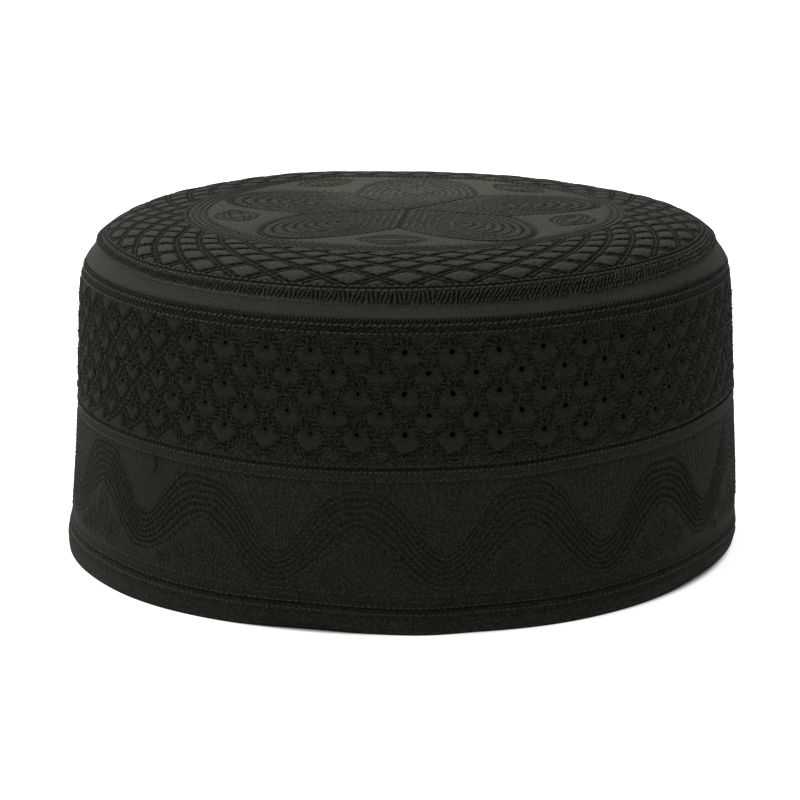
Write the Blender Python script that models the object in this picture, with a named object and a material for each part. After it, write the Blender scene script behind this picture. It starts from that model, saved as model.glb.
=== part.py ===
"""Round prayer cap of quilted cloth: a flat crown, a pierced side wall and a folded hem.

The cap stands on its hem at the origin, +Z up, its front towards -Y. It is nearly round, and its
sections widen and lean a little to +X, as on a cap that has been worn.
"""

import math
from collections import namedtuple

import bmesh
import bpy

MM = 0.001

# Driving sizes, in millimetres
COLUMNS = 48
CLOTH = 2.4
GAP = 0.3
SHARP_ANGLE = math.radians(40.0)

# The round form: a front radius, how much wider the sides are, and the lean towards +X
Section = namedtuple("Section", "height radius widening lean")
BODY = (
    Section(0.0, 93.1, 1.2, -0.5),
    Section(1.2, 93.6, 1.3, -0.2),
    Section(5.0, 93.4, 1.5, 0.2),
    Section(7.0, 92.8, 1.6, 0.4),
    Section(16.0, 92.5, 1.5, 0.9),
    Section(28.0, 92.2, 1.0, 1.2),
    Section(43.0, 91.9, 0.4, 1.3),
    Section(60.0, 91.2, 0.3, 1.4),
    Section(72.0, 90.6, 0.3, 1.4),
    Section(77.0, 90.0, 0.3, 1.4),
    Section(81.0, 88.9, 0.2, 1.5),
    Section(84.3, 86.8, 0.2, 1.6),
    Section(88.2, 84.3, 0.0, 1.4),
    Section(94.0, 60.0, 0.0, 1.2),
)

# Soft dents and bulges of the worn hem: azimuth from the front, half width and depth
Dent = namedtuple("Dent", "azimuth half_width depth")
DENTS = (
    Dent(-44.0, 20.0, 0.6),
    Dent(-15.0, 14.0, -1.7),
    Dent(4.0, 9.0, 1.1),
    Dent(25.0, 18.0, 0.8),
    Dent(60.0, 22.0, -1.8),
    Dent(180.0, 40.0, 1.0),
)
DENT_TOP = 30.0

# The crown's outer curve, from its centre to the turned-down edge
Ring = namedtuple("Ring", "radius height")
CROWN = (
    Ring(22.0, 93.3),
    Ring(44.0, 93.2),
    Ring(60.2, 92.9),
    Ring(70.0, 92.5),
    Ring(77.4, 91.6),
    Ring(81.6, 90.0),
    Ring(84.3, 88.2),
    Ring(85.9, 86.0),
)
CROWN_TOP = 93.4

# The crown's turned-down edge is lower on the right, so the plain roll below it is narrower there
EDGE_HEIGHT = 83.7
EDGE_TILT = -1.9

ROLL_FOOT = 81.2
ROLL_PROUD = 0.25
SEAM_ALLOWANCE_INSET = 2.6
WALL_BELLY = 22.0

SEAM_CORD_FOOT = 77.0
SEAM_CORD_TOP = 80.9
SEAM_SEAT = 1.5

MIDDLE_CORD_FOOT = 39.6
MIDDLE_CORD_TOP = 43.6
CHANNEL = 0.7

HEM_CORD_FOOT = 5.4
HEM_CORD_TOP = 7.1
HEM_SEAT = 1.4
HEM_CLOTH = 2.8
HEM_FOLD = 1.2
HEM_FOLD_INSET = 0.6
CORD_PROUD = 0.2
CORD_SHOULDER = 0.2

# Eyelets: five staggered rows; every second one is cut here
EYELET_ROWS = 5
EYELET_TOP_ROW = 72.7
EYELET_ROW_STEP = 5.25
EYELET_RADIUS = 1.1
EYELET_SIDES = 6
FRONT = math.radians(-90.3)


def along(height, column):
    """Read one column of the body table at a height."""
    rows = BODY
    if height <= rows[0].height:
        return getattr(rows[0], column)
    for low, high in zip(rows, rows[1:]):
        if height <= high.height:
            share = (height - low.height) / (high.height - low.height)
            return getattr(low, column) * (1.0 - share) + getattr(high, column) * share
    return getattr(rows[-1], column)


def wall(height, inset=0.0):
    """Radius and height of a point of the wall, so far inside its outer face."""
    return along(height, "radius") - inset, height


def dent(height, angle):
    """How far the cloth stands out at the hem's soft bulges, or in at its dents."""
    azimuth = math.degrees(angle) + 90.0
    total = 0.0
    for row in DENTS:
        away = (azimuth - row.azimuth + 180.0) % 360.0 - 180.0
        if abs(away) < row.half_width:
            total += row.depth * 0.5 * (1.0 + math.cos(math.pi * away / row.half_width))
    return total * max(0.0, 1.0 - height / DENT_TOP)


def place(radius, height, angle):
    """Carry a radius, height and angle to metres, with the cap's widening, lean and dents."""
    radius += dent(height, angle)
    x = along(height, "lean") + (radius + along(height, "widening")) * math.cos(angle)
    y = radius * math.sin(angle)
    return x * MM, y * MM, height * MM


def half_column_angle(half):
    """Angle of a half column; even ones hold the eyelets of the top row."""
    return FRONT + half * math.pi / COLUMNS


def column_angle(column):
    """Columns stand between the eyelets of the top row."""
    return half_column_angle(2 * column + 1)


def material(name, colour, roughness):
    """A plain cloth or thread finish."""
    finish = bpy.data.materials.new(name)
    finish.use_nodes = True
    shader = finish.node_tree.nodes["Principled BSDF"]
    shader.inputs["Base Color"].default_value = (*colour, 1.0)
    shader.inputs["Roughness"].default_value = roughness
    shader.inputs["Metallic"].default_value = 0.0
    finish.diffuse_color = (*colour, 1.0)
    return finish


def finish_object(name, mesh, finish):
    """Close the mesh with its faces pointing out, shade it smooth and link it."""
    bmesh.ops.recalc_face_normals(mesh, faces=mesh.faces)
    data = bpy.data.meshes.new(name)
    mesh.to_mesh(data)
    mesh.free()
    data.shade_smooth()
    data.set_sharp_from_angle(angle=SHARP_ANGLE)
    data.materials.append(finish)
    piece = bpy.data.objects.new(name, data)
    bpy.context.scene.collection.objects.link(piece)
    return piece


def ring_of_vertices(mesh, point_at):
    """One vertex for each column; point_at gives the radius and height at an angle."""
    angles = [column_angle(column) for column in range(COLUMNS)]
    return [mesh.verts.new(place(*point_at(angle), angle)) for angle in angles]


def join_rings(mesh, first, second):
    """Quads between two rings of vertices."""
    for column in range(COLUMNS):
        following = (column + 1) % COLUMNS
        mesh.faces.new((first[column], first[following], second[following], second[column]))


def turn_ring(name, outline, finish):
    """Turn a closed outline of (radius, height) points into a ring of cloth or cord."""
    mesh = bmesh.new()
    rings = [ring_of_vertices(mesh, lambda angle, point=point: point) for point in outline]
    for first, second in zip(rings, rings[1:] + rings[:1]):
        join_rings(mesh, first, second)
    return finish_object(name, mesh, finish)


def edge_height(angle):
    """Height of the crown's lower edge round the cap."""
    return EDGE_HEIGHT + EDGE_TILT * math.cos(angle)


def build_crown_panel(finish):
    """The domed top: an outer skin, the turned-down edge and the same curve inside it."""
    mesh = bmesh.new()
    outer = [lambda angle, ring=ring: (ring.radius, ring.height) for ring in CROWN]
    outer.append(lambda angle: wall(edge_height(angle)))
    inner = []
    previous = Ring(0.0, CROWN_TOP)
    for ring, following in zip(CROWN, CROWN[1:]):
        run = following.radius - previous.radius
        drop = previous.height - following.height
        length = math.hypot(run, drop)
        inset = Ring(ring.radius - CLOTH * drop / length, ring.height - CLOTH * run / length)
        inner.append(lambda angle, inset=inset: (inset.radius, inset.height))
        previous = ring
    inner.append(lambda angle: (wall(edge_height(angle))[0] - CLOTH, edge_height(angle)))
    rings = [ring_of_vertices(mesh, point_at) for point_at in outer + inner[::-1]]
    for first, second in zip(rings, rings[1:]):
        join_rings(mesh, first, second)
    top = mesh.verts.new(place(0.0, CROWN_TOP, 0.0))
    underside = mesh.verts.new(place(0.0, CROWN_TOP - CLOTH, 0.0))
    for column in range(COLUMNS):
        following = (column + 1) % COLUMNS
        mesh.faces.new((top, rings[0][column], rings[0][following]))
        mesh.faces.new((underside, rings[-1][following], rings[-1][column]))
    return finish_object("crown_panel", mesh, finish)


def build_shoulder_roll(finish):
    """The plain strip between the crown's edge and the seam, slightly rounded outwards."""
    mesh = bmesh.new()

    def at_share(share, inset):
        def point_at(angle):
            top = edge_height(angle) - GAP
            height = ROLL_FOOT + share * (top - ROLL_FOOT)
            proud = ROLL_PROUD * math.sin(math.pi * share)
            return wall(height, inset - proud if inset == 0.0 else inset)
        return point_at

    steps = (0.0, 0.5, 1.0)
    outline = [at_share(share, 0.0) for share in steps]
    outline += [at_share(share, CLOTH) for share in reversed(steps)]
    rings = [ring_of_vertices(mesh, point_at) for point_at in outline]
    for first, second in zip(rings, rings[1:] + rings[:1]):
        join_rings(mesh, first, second)
    return finish_object("shoulder_roll", mesh, finish)


def build_cord(name, foot, top, seat, finish):
    """A flat cord lying in its channel, its back a gap away from the channel's floor."""
    shoulder = CORD_SHOULDER * (top - foot)
    back = seat - GAP
    side = 0.5 * (back - CORD_PROUD)
    outline = [
        wall(foot, side),
        wall(foot + shoulder, -CORD_PROUD),
        wall(top - shoulder, -CORD_PROUD),
        wall(top, side),
        wall(top, back),
        wall(foot, back),
    ]
    return turn_ring(name, outline, finish)


def pierced(row, half):
    """Every second eyelet of a row is cut, stepping aside from row to row."""
    return ((half - row) // 2) % 2 == 0


def hole_loop(mesh, centre_height, half, inset):
    """The corners of an eyelet on one face of the wall, from its top, turning to +angle."""
    corners = []
    for corner in range(EYELET_SIDES):
        turn = corner * 2.0 * math.pi / EYELET_SIDES
        height = centre_height + EYELET_RADIUS * math.cos(turn)
        radius = wall(height, inset)[0]
        angle = half_column_angle(half) + EYELET_RADIUS * math.sin(turn) / along(height, "radius")
        corners.append(mesh.verts.new(place(radius, height, angle)))
    return corners


def cell_loop(upper, lower, half):
    """The corners of an eyelet's cell from its top, turning to +angle; edge rows lack a middle."""
    size = 2 * COLUMNS
    left, right = (half - 1) % size, (half + 1) % size
    return [
        upper.get(half), upper[right], lower[right],
        lower.get(half), lower[left], upper[left],
    ]


def face_cell(mesh, cell, hole):
    """Faces of one cell: a plain one, or a ring of them that leaves the eyelet open."""
    if hole is None:
        mesh.faces.new([corner for corner in cell if corner])
        return
    for index in range(EYELET_SIDES):
        following = (index + 1) % EYELET_SIDES
        face = [cell[index], cell[following], hole[following], hole[index]]
        mesh.faces.new([corner for corner in face if corner])
    for index in (0, EYELET_SIDES // 2):
        if cell[index] is None:
            mesh.faces.new((cell[index - 1], cell[index + 1], hole[index]))


def eyelet_boundaries(mesh, inset):
    """Vertices on the lines between the eyelet rows; the outermost lines have half as many."""
    lines = []
    for line in range(EYELET_ROWS + 1):
        height = EYELET_TOP_ROW + (0.5 - line) * EYELET_ROW_STEP
        edge = line in (0, EYELET_ROWS)
        halves = range(1, 2 * COLUMNS, 2) if edge else range(2 * COLUMNS)
        line_vertices = {}
        for half in halves:
            angle = half_column_angle(half)
            line_vertices[half] = mesh.verts.new(place(*wall(height, inset), angle))
        lines.append(line_vertices)
    return lines


def build_side_band(finish):
    """The upright wall with its eyelets and the channels that the cords lie in."""
    mesh = bmesh.new()
    outer_lines = eyelet_boundaries(mesh, 0.0)
    inner_lines = eyelet_boundaries(mesh, CLOTH)
    for row in range(EYELET_ROWS):
        height = EYELET_TOP_ROW - row * EYELET_ROW_STEP
        for column in range(COLUMNS):
            half = 2 * column + row % 2
            outer_cell = cell_loop(outer_lines[row], outer_lines[row + 1], half)
            inner_cell = cell_loop(inner_lines[row], inner_lines[row + 1], half)
            outer_hole = inner_hole = None
            if pierced(row, half):
                outer_hole = hole_loop(mesh, height, half, 0.0)
                inner_hole = hole_loop(mesh, height, half, CLOTH)
                for index in range(EYELET_SIDES):
                    following = (index + 1) % EYELET_SIDES
                    mesh.faces.new((
                        outer_hole[index], outer_hole[following],
                        inner_hole[following], inner_hole[index],
                    ))
            face_cell(mesh, outer_cell, outer_hole)
            face_cell(mesh, inner_cell, inner_hole)
    above = [
        wall(SEAM_CORD_FOOT - GAP),
        wall(SEAM_CORD_FOOT - GAP, SEAM_SEAT),
        wall(ROLL_FOOT - GAP, SEAM_SEAT),
        wall(ROLL_FOOT - GAP, SEAM_ALLOWANCE_INSET),
        wall(SEAM_CORD_FOOT - GAP, CLOTH),
    ]
    below = [
        wall(MIDDLE_CORD_TOP + GAP),
        wall(MIDDLE_CORD_TOP + GAP, CHANNEL),
        wall(MIDDLE_CORD_FOOT - GAP, CHANNEL),
        wall(MIDDLE_CORD_FOOT - GAP),
        wall(WALL_BELLY),
        wall(HEM_CORD_TOP + GAP),
        wall(HEM_CORD_TOP + GAP, HEM_SEAT),
        wall(HEM_CORD_FOOT + 2 * GAP, HEM_SEAT),
        wall(HEM_CORD_FOOT + 2 * GAP, HEM_CLOTH),
        wall(WALL_BELLY, CLOTH),
    ]
    for outline, line in ((above, 0), (below, EYELET_ROWS)):
        start = [outer_lines[line][half] for half in range(1, 2 * COLUMNS, 2)]
        end = [inner_lines[line][half] for half in range(1, 2 * COLUMNS, 2)]
        rings = [ring_of_vertices(mesh, lambda angle, point=point: point) for point in outline]
        rings = [start] + rings + [end]
        for first, second in zip(rings, rings[1:]):
            join_rings(mesh, first, second)
    return finish_object("side_band", mesh, finish)


def build_hem_band(finish):
    """The folded hem: flat underneath, round at its fold, with a seat for its cord."""
    outline = [
        wall(0.0),
        wall(HEM_FOLD),
        wall(HEM_CORD_FOOT - GAP),
        wall(HEM_CORD_FOOT - GAP, HEM_SEAT),
        wall(HEM_CORD_FOOT + GAP, HEM_SEAT),
        wall(HEM_CORD_FOOT + GAP, HEM_CLOTH),
        wall(HEM_FOLD, HEM_CLOTH),
        wall(0.0, HEM_CLOTH - HEM_FOLD_INSET),
    ]
    return turn_ring("hem_band", outline, finish)


def clear_scene():
    for old in list(bpy.data.objects):
        bpy.data.objects.remove(old, do_unlink=True)


def main():
    clear_scene()
    build_crown_panel(material("quilted_crown_cloth", (0.033, 0.032, 0.027), 0.82))
    build_shoulder_roll(material("plain_shoulder_cloth", (0.026, 0.025, 0.021), 0.78))
    build_side_band(material("quilted_wall_cloth", (0.014, 0.014, 0.011), 0.85))
    build_hem_band(material("plain_hem_cloth", (0.015, 0.015, 0.012), 0.82))
    thread = material("black_thread", (0.013, 0.013, 0.010), 0.55)
    build_cord("seam_cord", SEAM_CORD_FOOT, SEAM_CORD_TOP, SEAM_SEAT, thread)
    build_cord("middle_cord", MIDDLE_CORD_FOOT, MIDDLE_CORD_TOP, CHANNEL, thread.copy())
    build_cord("hem_cord", HEM_CORD_FOOT, HEM_CORD_TOP, HEM_SEAT, thread.copy())


main()
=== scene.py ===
"""Looks of a round prayer cap: quilted and pierced cloth, embroidered with thread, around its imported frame.

The cap stands on its hem at the origin, +Z up, its front towards -Y. Sizes are in millimetres unless a
property says otherwise. A place on the cap is a way, measured along the outer outline from the crown's
centre, and an azimuth in degrees from the front, growing to the right.
"""

import math
from collections import namedtuple

import bpy
import numpy as np
from bpy.props import FloatProperty, FloatVectorProperty, IntProperty, PointerProperty
from bpy.types import Operator, Panel, PropertyGroup
from mathutils import Matrix, Vector


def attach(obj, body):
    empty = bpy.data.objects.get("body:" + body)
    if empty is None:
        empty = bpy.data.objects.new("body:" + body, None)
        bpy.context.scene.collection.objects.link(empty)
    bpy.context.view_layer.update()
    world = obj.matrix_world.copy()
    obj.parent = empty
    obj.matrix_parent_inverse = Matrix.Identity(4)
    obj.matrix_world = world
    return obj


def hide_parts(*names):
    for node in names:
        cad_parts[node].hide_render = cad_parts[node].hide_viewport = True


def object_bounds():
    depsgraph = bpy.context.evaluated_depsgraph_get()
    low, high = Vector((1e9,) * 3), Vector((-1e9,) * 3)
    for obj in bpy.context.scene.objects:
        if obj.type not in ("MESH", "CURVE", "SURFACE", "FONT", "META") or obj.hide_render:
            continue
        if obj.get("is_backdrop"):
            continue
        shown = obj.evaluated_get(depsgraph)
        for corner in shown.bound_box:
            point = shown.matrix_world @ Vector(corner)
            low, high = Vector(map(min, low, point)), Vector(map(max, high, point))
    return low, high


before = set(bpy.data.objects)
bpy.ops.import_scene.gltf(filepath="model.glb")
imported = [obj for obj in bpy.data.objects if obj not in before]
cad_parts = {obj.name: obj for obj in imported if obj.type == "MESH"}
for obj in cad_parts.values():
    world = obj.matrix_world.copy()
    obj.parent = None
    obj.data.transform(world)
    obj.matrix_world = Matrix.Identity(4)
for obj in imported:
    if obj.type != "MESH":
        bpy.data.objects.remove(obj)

bl_info = {
    "name": "Prayer Cap",
    "version": (1, 0, 0),
    "blender": (4, 5, 0),
    "location": "View3D > Sidebar > Cap",
    "description": "Dresses a round cap with quilted cloth, eyelets and embroidery",
    "category": "Object",
}

MM = 0.001
# Plain weave: from one thread to the next, and its depth; then the darkest that the shade painted in a groove
# gets
WEAVE_PITCH = 0.5
WEAVE_DEPTH = 0.02
DARKEST = 0.03
CAD_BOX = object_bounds()

# The form of the cloth, the same as the solids'

# Levels of the wall: height, radius front to back, how much wider it is sideways, shift to the right
Section = namedtuple("Section", "height radius widening lean")
BODY = (
    Section(0.0, 93.1, 1.2, -0.5),
    Section(1.2, 93.6, 1.3, -0.2),
    Section(5.0, 93.4, 1.5, 0.2),
    Section(7.0, 92.8, 1.6, 0.4),
    Section(16.0, 92.5, 1.5, 0.9),
    Section(28.0, 92.2, 1.0, 1.2),
    Section(43.0, 91.9, 0.4, 1.3),
    Section(60.0, 91.2, 0.3, 1.4),
    Section(72.0, 90.6, 0.3, 1.4),
    Section(77.0, 90.0, 0.3, 1.4),
    Section(81.0, 88.9, 0.2, 1.5),
    Section(84.3, 86.8, 0.2, 1.6),
    Section(88.2, 84.3, 0.0, 1.4),
    Section(94.0, 60.0, 0.0, 1.2),
)

# Bulges and dents of the hem: azimuth, degrees to each side, and how far out; they end at DENT_TOP
Dent = namedtuple("Dent", "azimuth half_width depth")
DENTS = (
    Dent(-44.0, 20.0, 0.6),
    Dent(-15.0, 14.0, -1.7),
    Dent(4.0, 9.0, 1.1),
    Dent(25.0, 18.0, 0.8),
    Dent(60.0, 22.0, -1.8),
    Dent(180.0, 40.0, 1.0),
)
DENT_TOP = 30.0

Ring = namedtuple("Ring", "radius height")
CROWN = (
    Ring(0.0, 93.4),
    Ring(22.0, 93.3),
    Ring(44.0, 93.2),
    Ring(60.2, 92.9),
    Ring(70.0, 92.5),
    Ring(77.4, 91.6),
    Ring(81.6, 90.0),
    Ring(84.3, 88.2),
    Ring(85.9, 86.0),
    Ring(86.8, 84.3),
)
# Thickness of the cloth and of the folded hem
CLOTH = 2.4
HEM_CLOTH = 2.8

# Heights at which the strip, the upper wall and the lower wall end
ROLL_FOOT = 80.62
WALL_SPLIT = 43.0
WALL_FOOT = 7.0

# A table in braces gives a value at each of a few azimuths, and is eased from one to the next.
# Ways of the lattice's border and of the crown's lower edge, then how far up the seam, the middle cord and
# the hem's rows wander
CROWN_BORDER = {
    -180.0: 84.5, -120.0: 84.2, -80.0: 84.4, -50.0: 85.7, -10.0: 85.8, 10.0: 85.4,
    30.0: 84.7, 55.0: 84.1, 80.0: 83.9, 120.0: 84.3,
}
BAND_FOOT = {
    -180.0: 89.4, -110.0: 88.6, -80.0: 88.2, -62.0: 88.8, -48.0: 89.9, -28.0: 90.3,
    0.0: 90.9, 15.0: 91.0, 33.0: 91.0, 46.0: 90.4, 62.0: 89.5, 80.0: 88.8, 120.0: 88.8,
}
SEAM_WANDER = {
    -180.0: 0.0, -110.0: 0.4, -75.0: 1.0, -40.0: 0.2, -20.0: 0.0, 10.0: 0.1, 40.0: 0.7,
    72.0: 1.0, 120.0: 0.2,
}
MIDDLE_WANDER = {
    -180.0: 0.0, -80.0: 0.4, -45.0: 0.3, -15.0: -0.2, 13.0: 0.2, 37.0: 1.6, 50.0: 2.2,
    62.0: 3.1, 78.0: 3.4, 125.0: 0.8,
}
HEM_WANDER = {
    -180.0: 0.4, -100.0: 0.9, -60.0: 1.0, -30.0: 0.3, 0.0: -0.2, 25.0: 0.3, 50.0: 1.0,
    100.0: 0.9,
}

# Degrees by which the crown's and the upper wall's patterns have drifted forward at the left
SIDE_DRIFT = {
    -180.0: 0.0, -140.0: 1.6, -100.0: 4.2, -80.0: 4.6, -68.0: 3.6, -56.0: 1.9, -44.0: 0.7,
    -32.0: 0.0, 120.0: 0.0,
}
# How far the crown's rim stands higher or lower than a level one
CROWN_LEAN = {
    -180.0: 0.4, -155.0: 1.2, -125.0: 0.6, -95.0: -0.1, -60.0: 0.0, 60.0: 0.0, 105.0: -0.2,
    130.0: -0.6, 160.0: 0.1,
}

# Crown embroidery
# Cells round the lattice and the height of one, the medallion's shift to the right, and its rings
CROWN_CELLS = 36
CROWN_ROW = 3.54
MEDALLION_SHIFT = 1.2
MEDALLION_RINGS = (56.8, 58.4, 60.0)
MEDALLION_EDGE = MEDALLION_RINGS[0]
RING_GAP = 1.6
# Ways between which the lattice lies
LATTICE_INNER = 61.5
LATTICE_OUTER = 86.0
# Where a highlight is painted on the crown, lighter and with fainter lines: to the right, to the back, and
# how far round that
PAINTED_HIGHLIGHT_SIDE = 2.0
PAINTED_HIGHLIGHT_BACK = 36.0
PAINTED_HIGHLIGHT_REACH = 52.0
# Petals: how many, azimuth of the first, middle, reach and half width, and their rows from the edge inwards
PETALS = 5
PETAL_AXIS = 30.5
PETAL_CENTRE = 23.5
PETAL_REACH = 31.5
PETAL_HALF_WIDTH = 17.2
PETAL_ROWS = 8
PETAL_ROW_STEP = 2.0
PETAL_FIRST_ROW = 0.5
# Eyes between the petals
EYE_RADIUS = 48.5
EYE_HALF_LENGTH = 9.5
EYE_HALF_WIDTH = 5.5
EYE_LINES = 3

# Wall embroidery
# Eyelets: columns, rows, height of the top row, from row to row, radius, and turn to the right
EYELET_COLUMNS = 48
EYELET_ROWS = 5
EYELET_TOP_ROW = 72.7
EYELET_ROW_STEP = 5.25
EYELET_RADIUS = 0.85
EYELET_SHIFT = -0.3
# Heights between which the wall's lattice lies
LATTICE_TOP = 76.6
LATTICE_FOOT = 44.6
# Waves: how many, azimuth of a crest, degrees by which they stand wider at the front, and rows
WAVES = 14
WAVE_CREST = 19.3
WAVE_CROWDING = 26.4
WAVE_ROWS = 7
# The lowest row at a crest and in a trough, and the gap between rows there
WAVE_CREST_LOW = 27.2
WAVE_TROUGH_LOW = 12.0
WAVE_CREST_STEP = 1.7
WAVE_TROUGH_STEP = 1.5
# Roundness of the lowest row's crests, and how much rounder each next row's are
WAVE_ROUNDNESS = 0.85
WAVE_ROUNDER = 0.15
# Length of a dash of the grooves between rows; then the fans' middle, top and degrees between rays
WAVE_DASH = 1.5
FAN_FOCUS = 13.0
FAN_TOP = 38.9
FAN_STEP = 4.5
# Trough without a fan, where the cloth stays plain, and how far that reaches to each side
PLAIN_TROUGH = -46.5
PLAIN_REACH = 9.0
# How much higher the waves run at some azimuths
WAVE_RISE = {
    -180.0: 1.5, -90.0: 1.5, -60.0: 1.8, -46.0: 3.2, -33.0: 0.2, -20.0: 0.0, -7.4: 0.2,
    6.0: 0.2, 19.0: 1.3, 33.0: 0.0, 46.0: 0.4, 59.0: 2.4, 72.0: 1.2, 120.0: 1.5,
}

# The short crease in the plain trough: azimuth and height of its foremost point
CREASE_TURN = -44.3
CREASE_HEIGHT = 37.6

# Buds under each crest: millimetres beside the crest, height, half length, half width and lean in degrees
Bud = namedtuple("Bud", "side height half_length half_width lean")
BUDS = (
    Bud(0.3, 19.8, 7.0, 2.6, 2.0),
    Bud(-6.6, 16.6, 5.2, 2.7, -24.0),
    Bud(6.8, 16.8, 5.4, 2.8, 24.0),
    Bud(-12.4, 13.6, 2.6, 2.0, -40.0),
)
BUD_LINES = 3

# Sampling of the outline in millimetres, how many samples round it off, and the height from which the
# crown's table gives it
OUTLINE_STEP = 0.1
ROUNDING = 22
BODY_TOP = 82.0

# Radii at which a width on the cloth is turned into degrees: at the eyelets, the waves, the crease, the band
EYELET_LEVEL = 91.0
WAVE_LEVEL = 92.0
CREASE_LEVEL = 91.9
BAND_LEVEL = 88.0

# Satin band at the crown's edge: strokes and scrolls in a full turn, strokes one below the other
BAND_STROKES = 460
BAND_SCROLLS = 78
BAND_PIECES = 3
# Lean of the satin stitches, and how far it swings from one scroll to the next
BAND_SLANT = {-180.0: 0.2, -40.0: 0.3, 0.0: 0.1, 18.0: 1.0, 70.0: 0.8, 110.0: 0.2}
BAND_SWING = {-180.0: 0.5, -40.0: 0.4, 0.0: 0.35, 18.0: 0.2, 70.0: 0.3, 110.0: 0.4}

# Sine ripples round the cap: size, waves in a full turn, shift for each millimetre or row, and own shift
Ripple = namedtuple("Ripple", "size waves climb shift", defaults=(0.0, 0.0))
LATTICE_RIPPLES = (Ripple(0.22, 9.0, 0.5), Ripple(0.18, 31.0, -0.7))
LATTICE_SWAY = (Ripple(0.14, 27.0, 0.9),)
WAVE_RIPPLES = (Ripple(0.16, 37.0, 1.1), Ripple(0.12, 83.0, -0.9))
HEM_RIPPLES = (Ripple(0.05, 23.0), Ripple(0.04, 57.0, 0.0, 1.3))
STRIP_RIPPLES = (Ripple(0.05, 31.0),)

# What wanders up and down: its table, its height and how far above and below the cloth goes along
WANDERS = ((SEAM_WANDER, 79.3, 6.0), (MIDDLE_WANDER, 42.0, 8.0), (HEM_WANDER, 7.5, 6.5))

# Level welts and furrows of the wall, and shade painted along its seams: height, reach up and down, and how
# far out, how deep or how dark
Welt = namedtuple("Welt", "height reach size")
UPPER_FURROWS = (Welt(80.4, 0.9, -0.2), Welt(78.2, 2.4, -0.25), Welt(42.8, 1.4, -0.4))
UPPER_PAINTED_SHADE = (Welt(80.2, 0.8, 1.0), Welt(43.0, 0.8, 0.4), Welt(78.2, 2.0, 0.4))
LOWER_FURROWS = (Welt(43.0, 0.8, -0.25), Welt(39.3, 0.9, -0.25), Welt(9.0, 2.8, -0.12))
LOWER_PAINTED_SHADE = (Welt(43.0, 0.8, 0.4), Welt(39.3, 0.9, 0.35), Welt(9.0, 2.6, 0.25))
HEM_WELTS = (Welt(3.4, 0.8, 0.22), Welt(6.6, 1.0, -0.25), Welt(4.6, 0.7, -0.1))
HEM_PAINTED_SHADE = (Welt(6.6, 0.7, 0.6), Welt(4.6, 0.7, 0.3))

# Cloth meshes. Centimetres round the cap in the cloth map
CLOTH_ROUND = 58.0
# Zones of the crown inside its lattice: first and last way, columns and rings
ZONES_END = 62.0
CROWN_ZONES = (
    (0.6, 6.6, 90, 9),
    (6.6, 16.0, 180, 13),
    (16.0, 33.0, 360, 26),
    (33.0, ZONES_END, 720, 48),
)
LATTICE_RINGS = 40
BAND_RINGS = 12
# The crown's underside: columns, and its rings as shares of the way to the edge
INNER_COLUMNS = 180
INNER_SHARES = (1.0, 0.97, 0.94, 0.9, 0.85, 0.8, 0.7, 0.6, 0.5, 0.4, 0.3, 0.2, 0.1, 0.03)
# The strip, the lower wall and the hem: columns, rings, and outer columns and rings to an inner one
PLAIN_COLUMNS = 480
STRIP_RINGS = 13
LOWER_RINGS = 61
HEM_RINGS = 16
INNER_SPAN = 4
# The upper wall's grid: columns to half a cell, rings to a row, rings above and below the top row's middle,
# how far from its middle an eyelet's edge lies, and how far the grid gives way round it
COLUMNS_PER_HALF = 10
RINGS_PER_ROW = 8
UPPER_RINGS_ABOVE = 12
UPPER_RINGS_BELOW = 48
HOLE_RING = 2
HOLE_EASE = 5

# How a cloth is quilted and napped: distances and depths in millimetres
Quilting = namedtuple(
    "Quilting",
    "lattice_gap twin dashes line_half_width contour_gap contour_half_width contour_dashes ragged depth"
    " nap_depth nap_size")
CROWN_QUILTING = Quilting(6.3, 0.58, 3.0, 0.62, 1.7, 0.55, 0.0, 0.45, 0.7, 0.3, 0.7)
WALL_QUILTING = Quilting(7.9, 0.55, 4.0, 0.62, 1.8, 0.65, 0.5, 0.8, 0.5, 0.42, 0.8)

# Noises of the finishes, in waves to a metre: the cloth's dye and fuzz, and the thread's fibres
DYE_SCALE = 55.0
FUZZ_SCALE = 2600.0
FIBRE_SCALE = 3200.0
FUZZ_DEPTH = 0.06
RAGGED_SIZE = 0.8
# Grains of the stitched nap: how they are squashed, and the noise's values between which they rise
GRAIN_SQUASH = (1.0, 1.0, 1.7)
GRAIN_LOW, GRAIN_HIGH = 0.34, 0.66
# The uneven dye, as shares of the cloth's own colour
GREENER = (0.72, 0.8, 0.75)
REDDER = (1.3, 1.2, 1.22)
# How much the shade painted in a groove and the mesh's painted light and shade darken the cloth, and how much
# its nap changes it
GROOVE_SHADE = 0.97
PAINTED_SHADING_STRENGTH = 0.8
NAP_SHADE = 1.3

# Finishes: colour, quilting where it is cloth, sheen, gloss and roughness
Finish = namedtuple("Finish", "colour quilting sheen specular roughness")
FINISHES = {
    "crown_quilting": Finish("crown_cloth", CROWN_QUILTING, 0.01, 0.05, 0.75),
    "wall_quilting": Finish("wall_cloth", WALL_QUILTING, 0.01, 0.05, 0.8),
    "strip_cloth": Finish("plain_cloth", WALL_QUILTING, 0.02, 0.08, 0.75),
    "hem_cloth": Finish("hem_cloth", WALL_QUILTING, 0.01, 0.05, 0.8),
    "crown_thread": Finish("crown_thread", None, 0.01, 0.08, 0.5),
    "satin_thread": Finish("satin_thread", None, 0.01, 0.12, 0.45),
    "rope_thread": Finish("rope_thread", None, 0.01, 0.18, 0.42),
    "wall_thread": Finish("wall_thread", None, 0.01, 0.08, 0.5),
}

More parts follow.
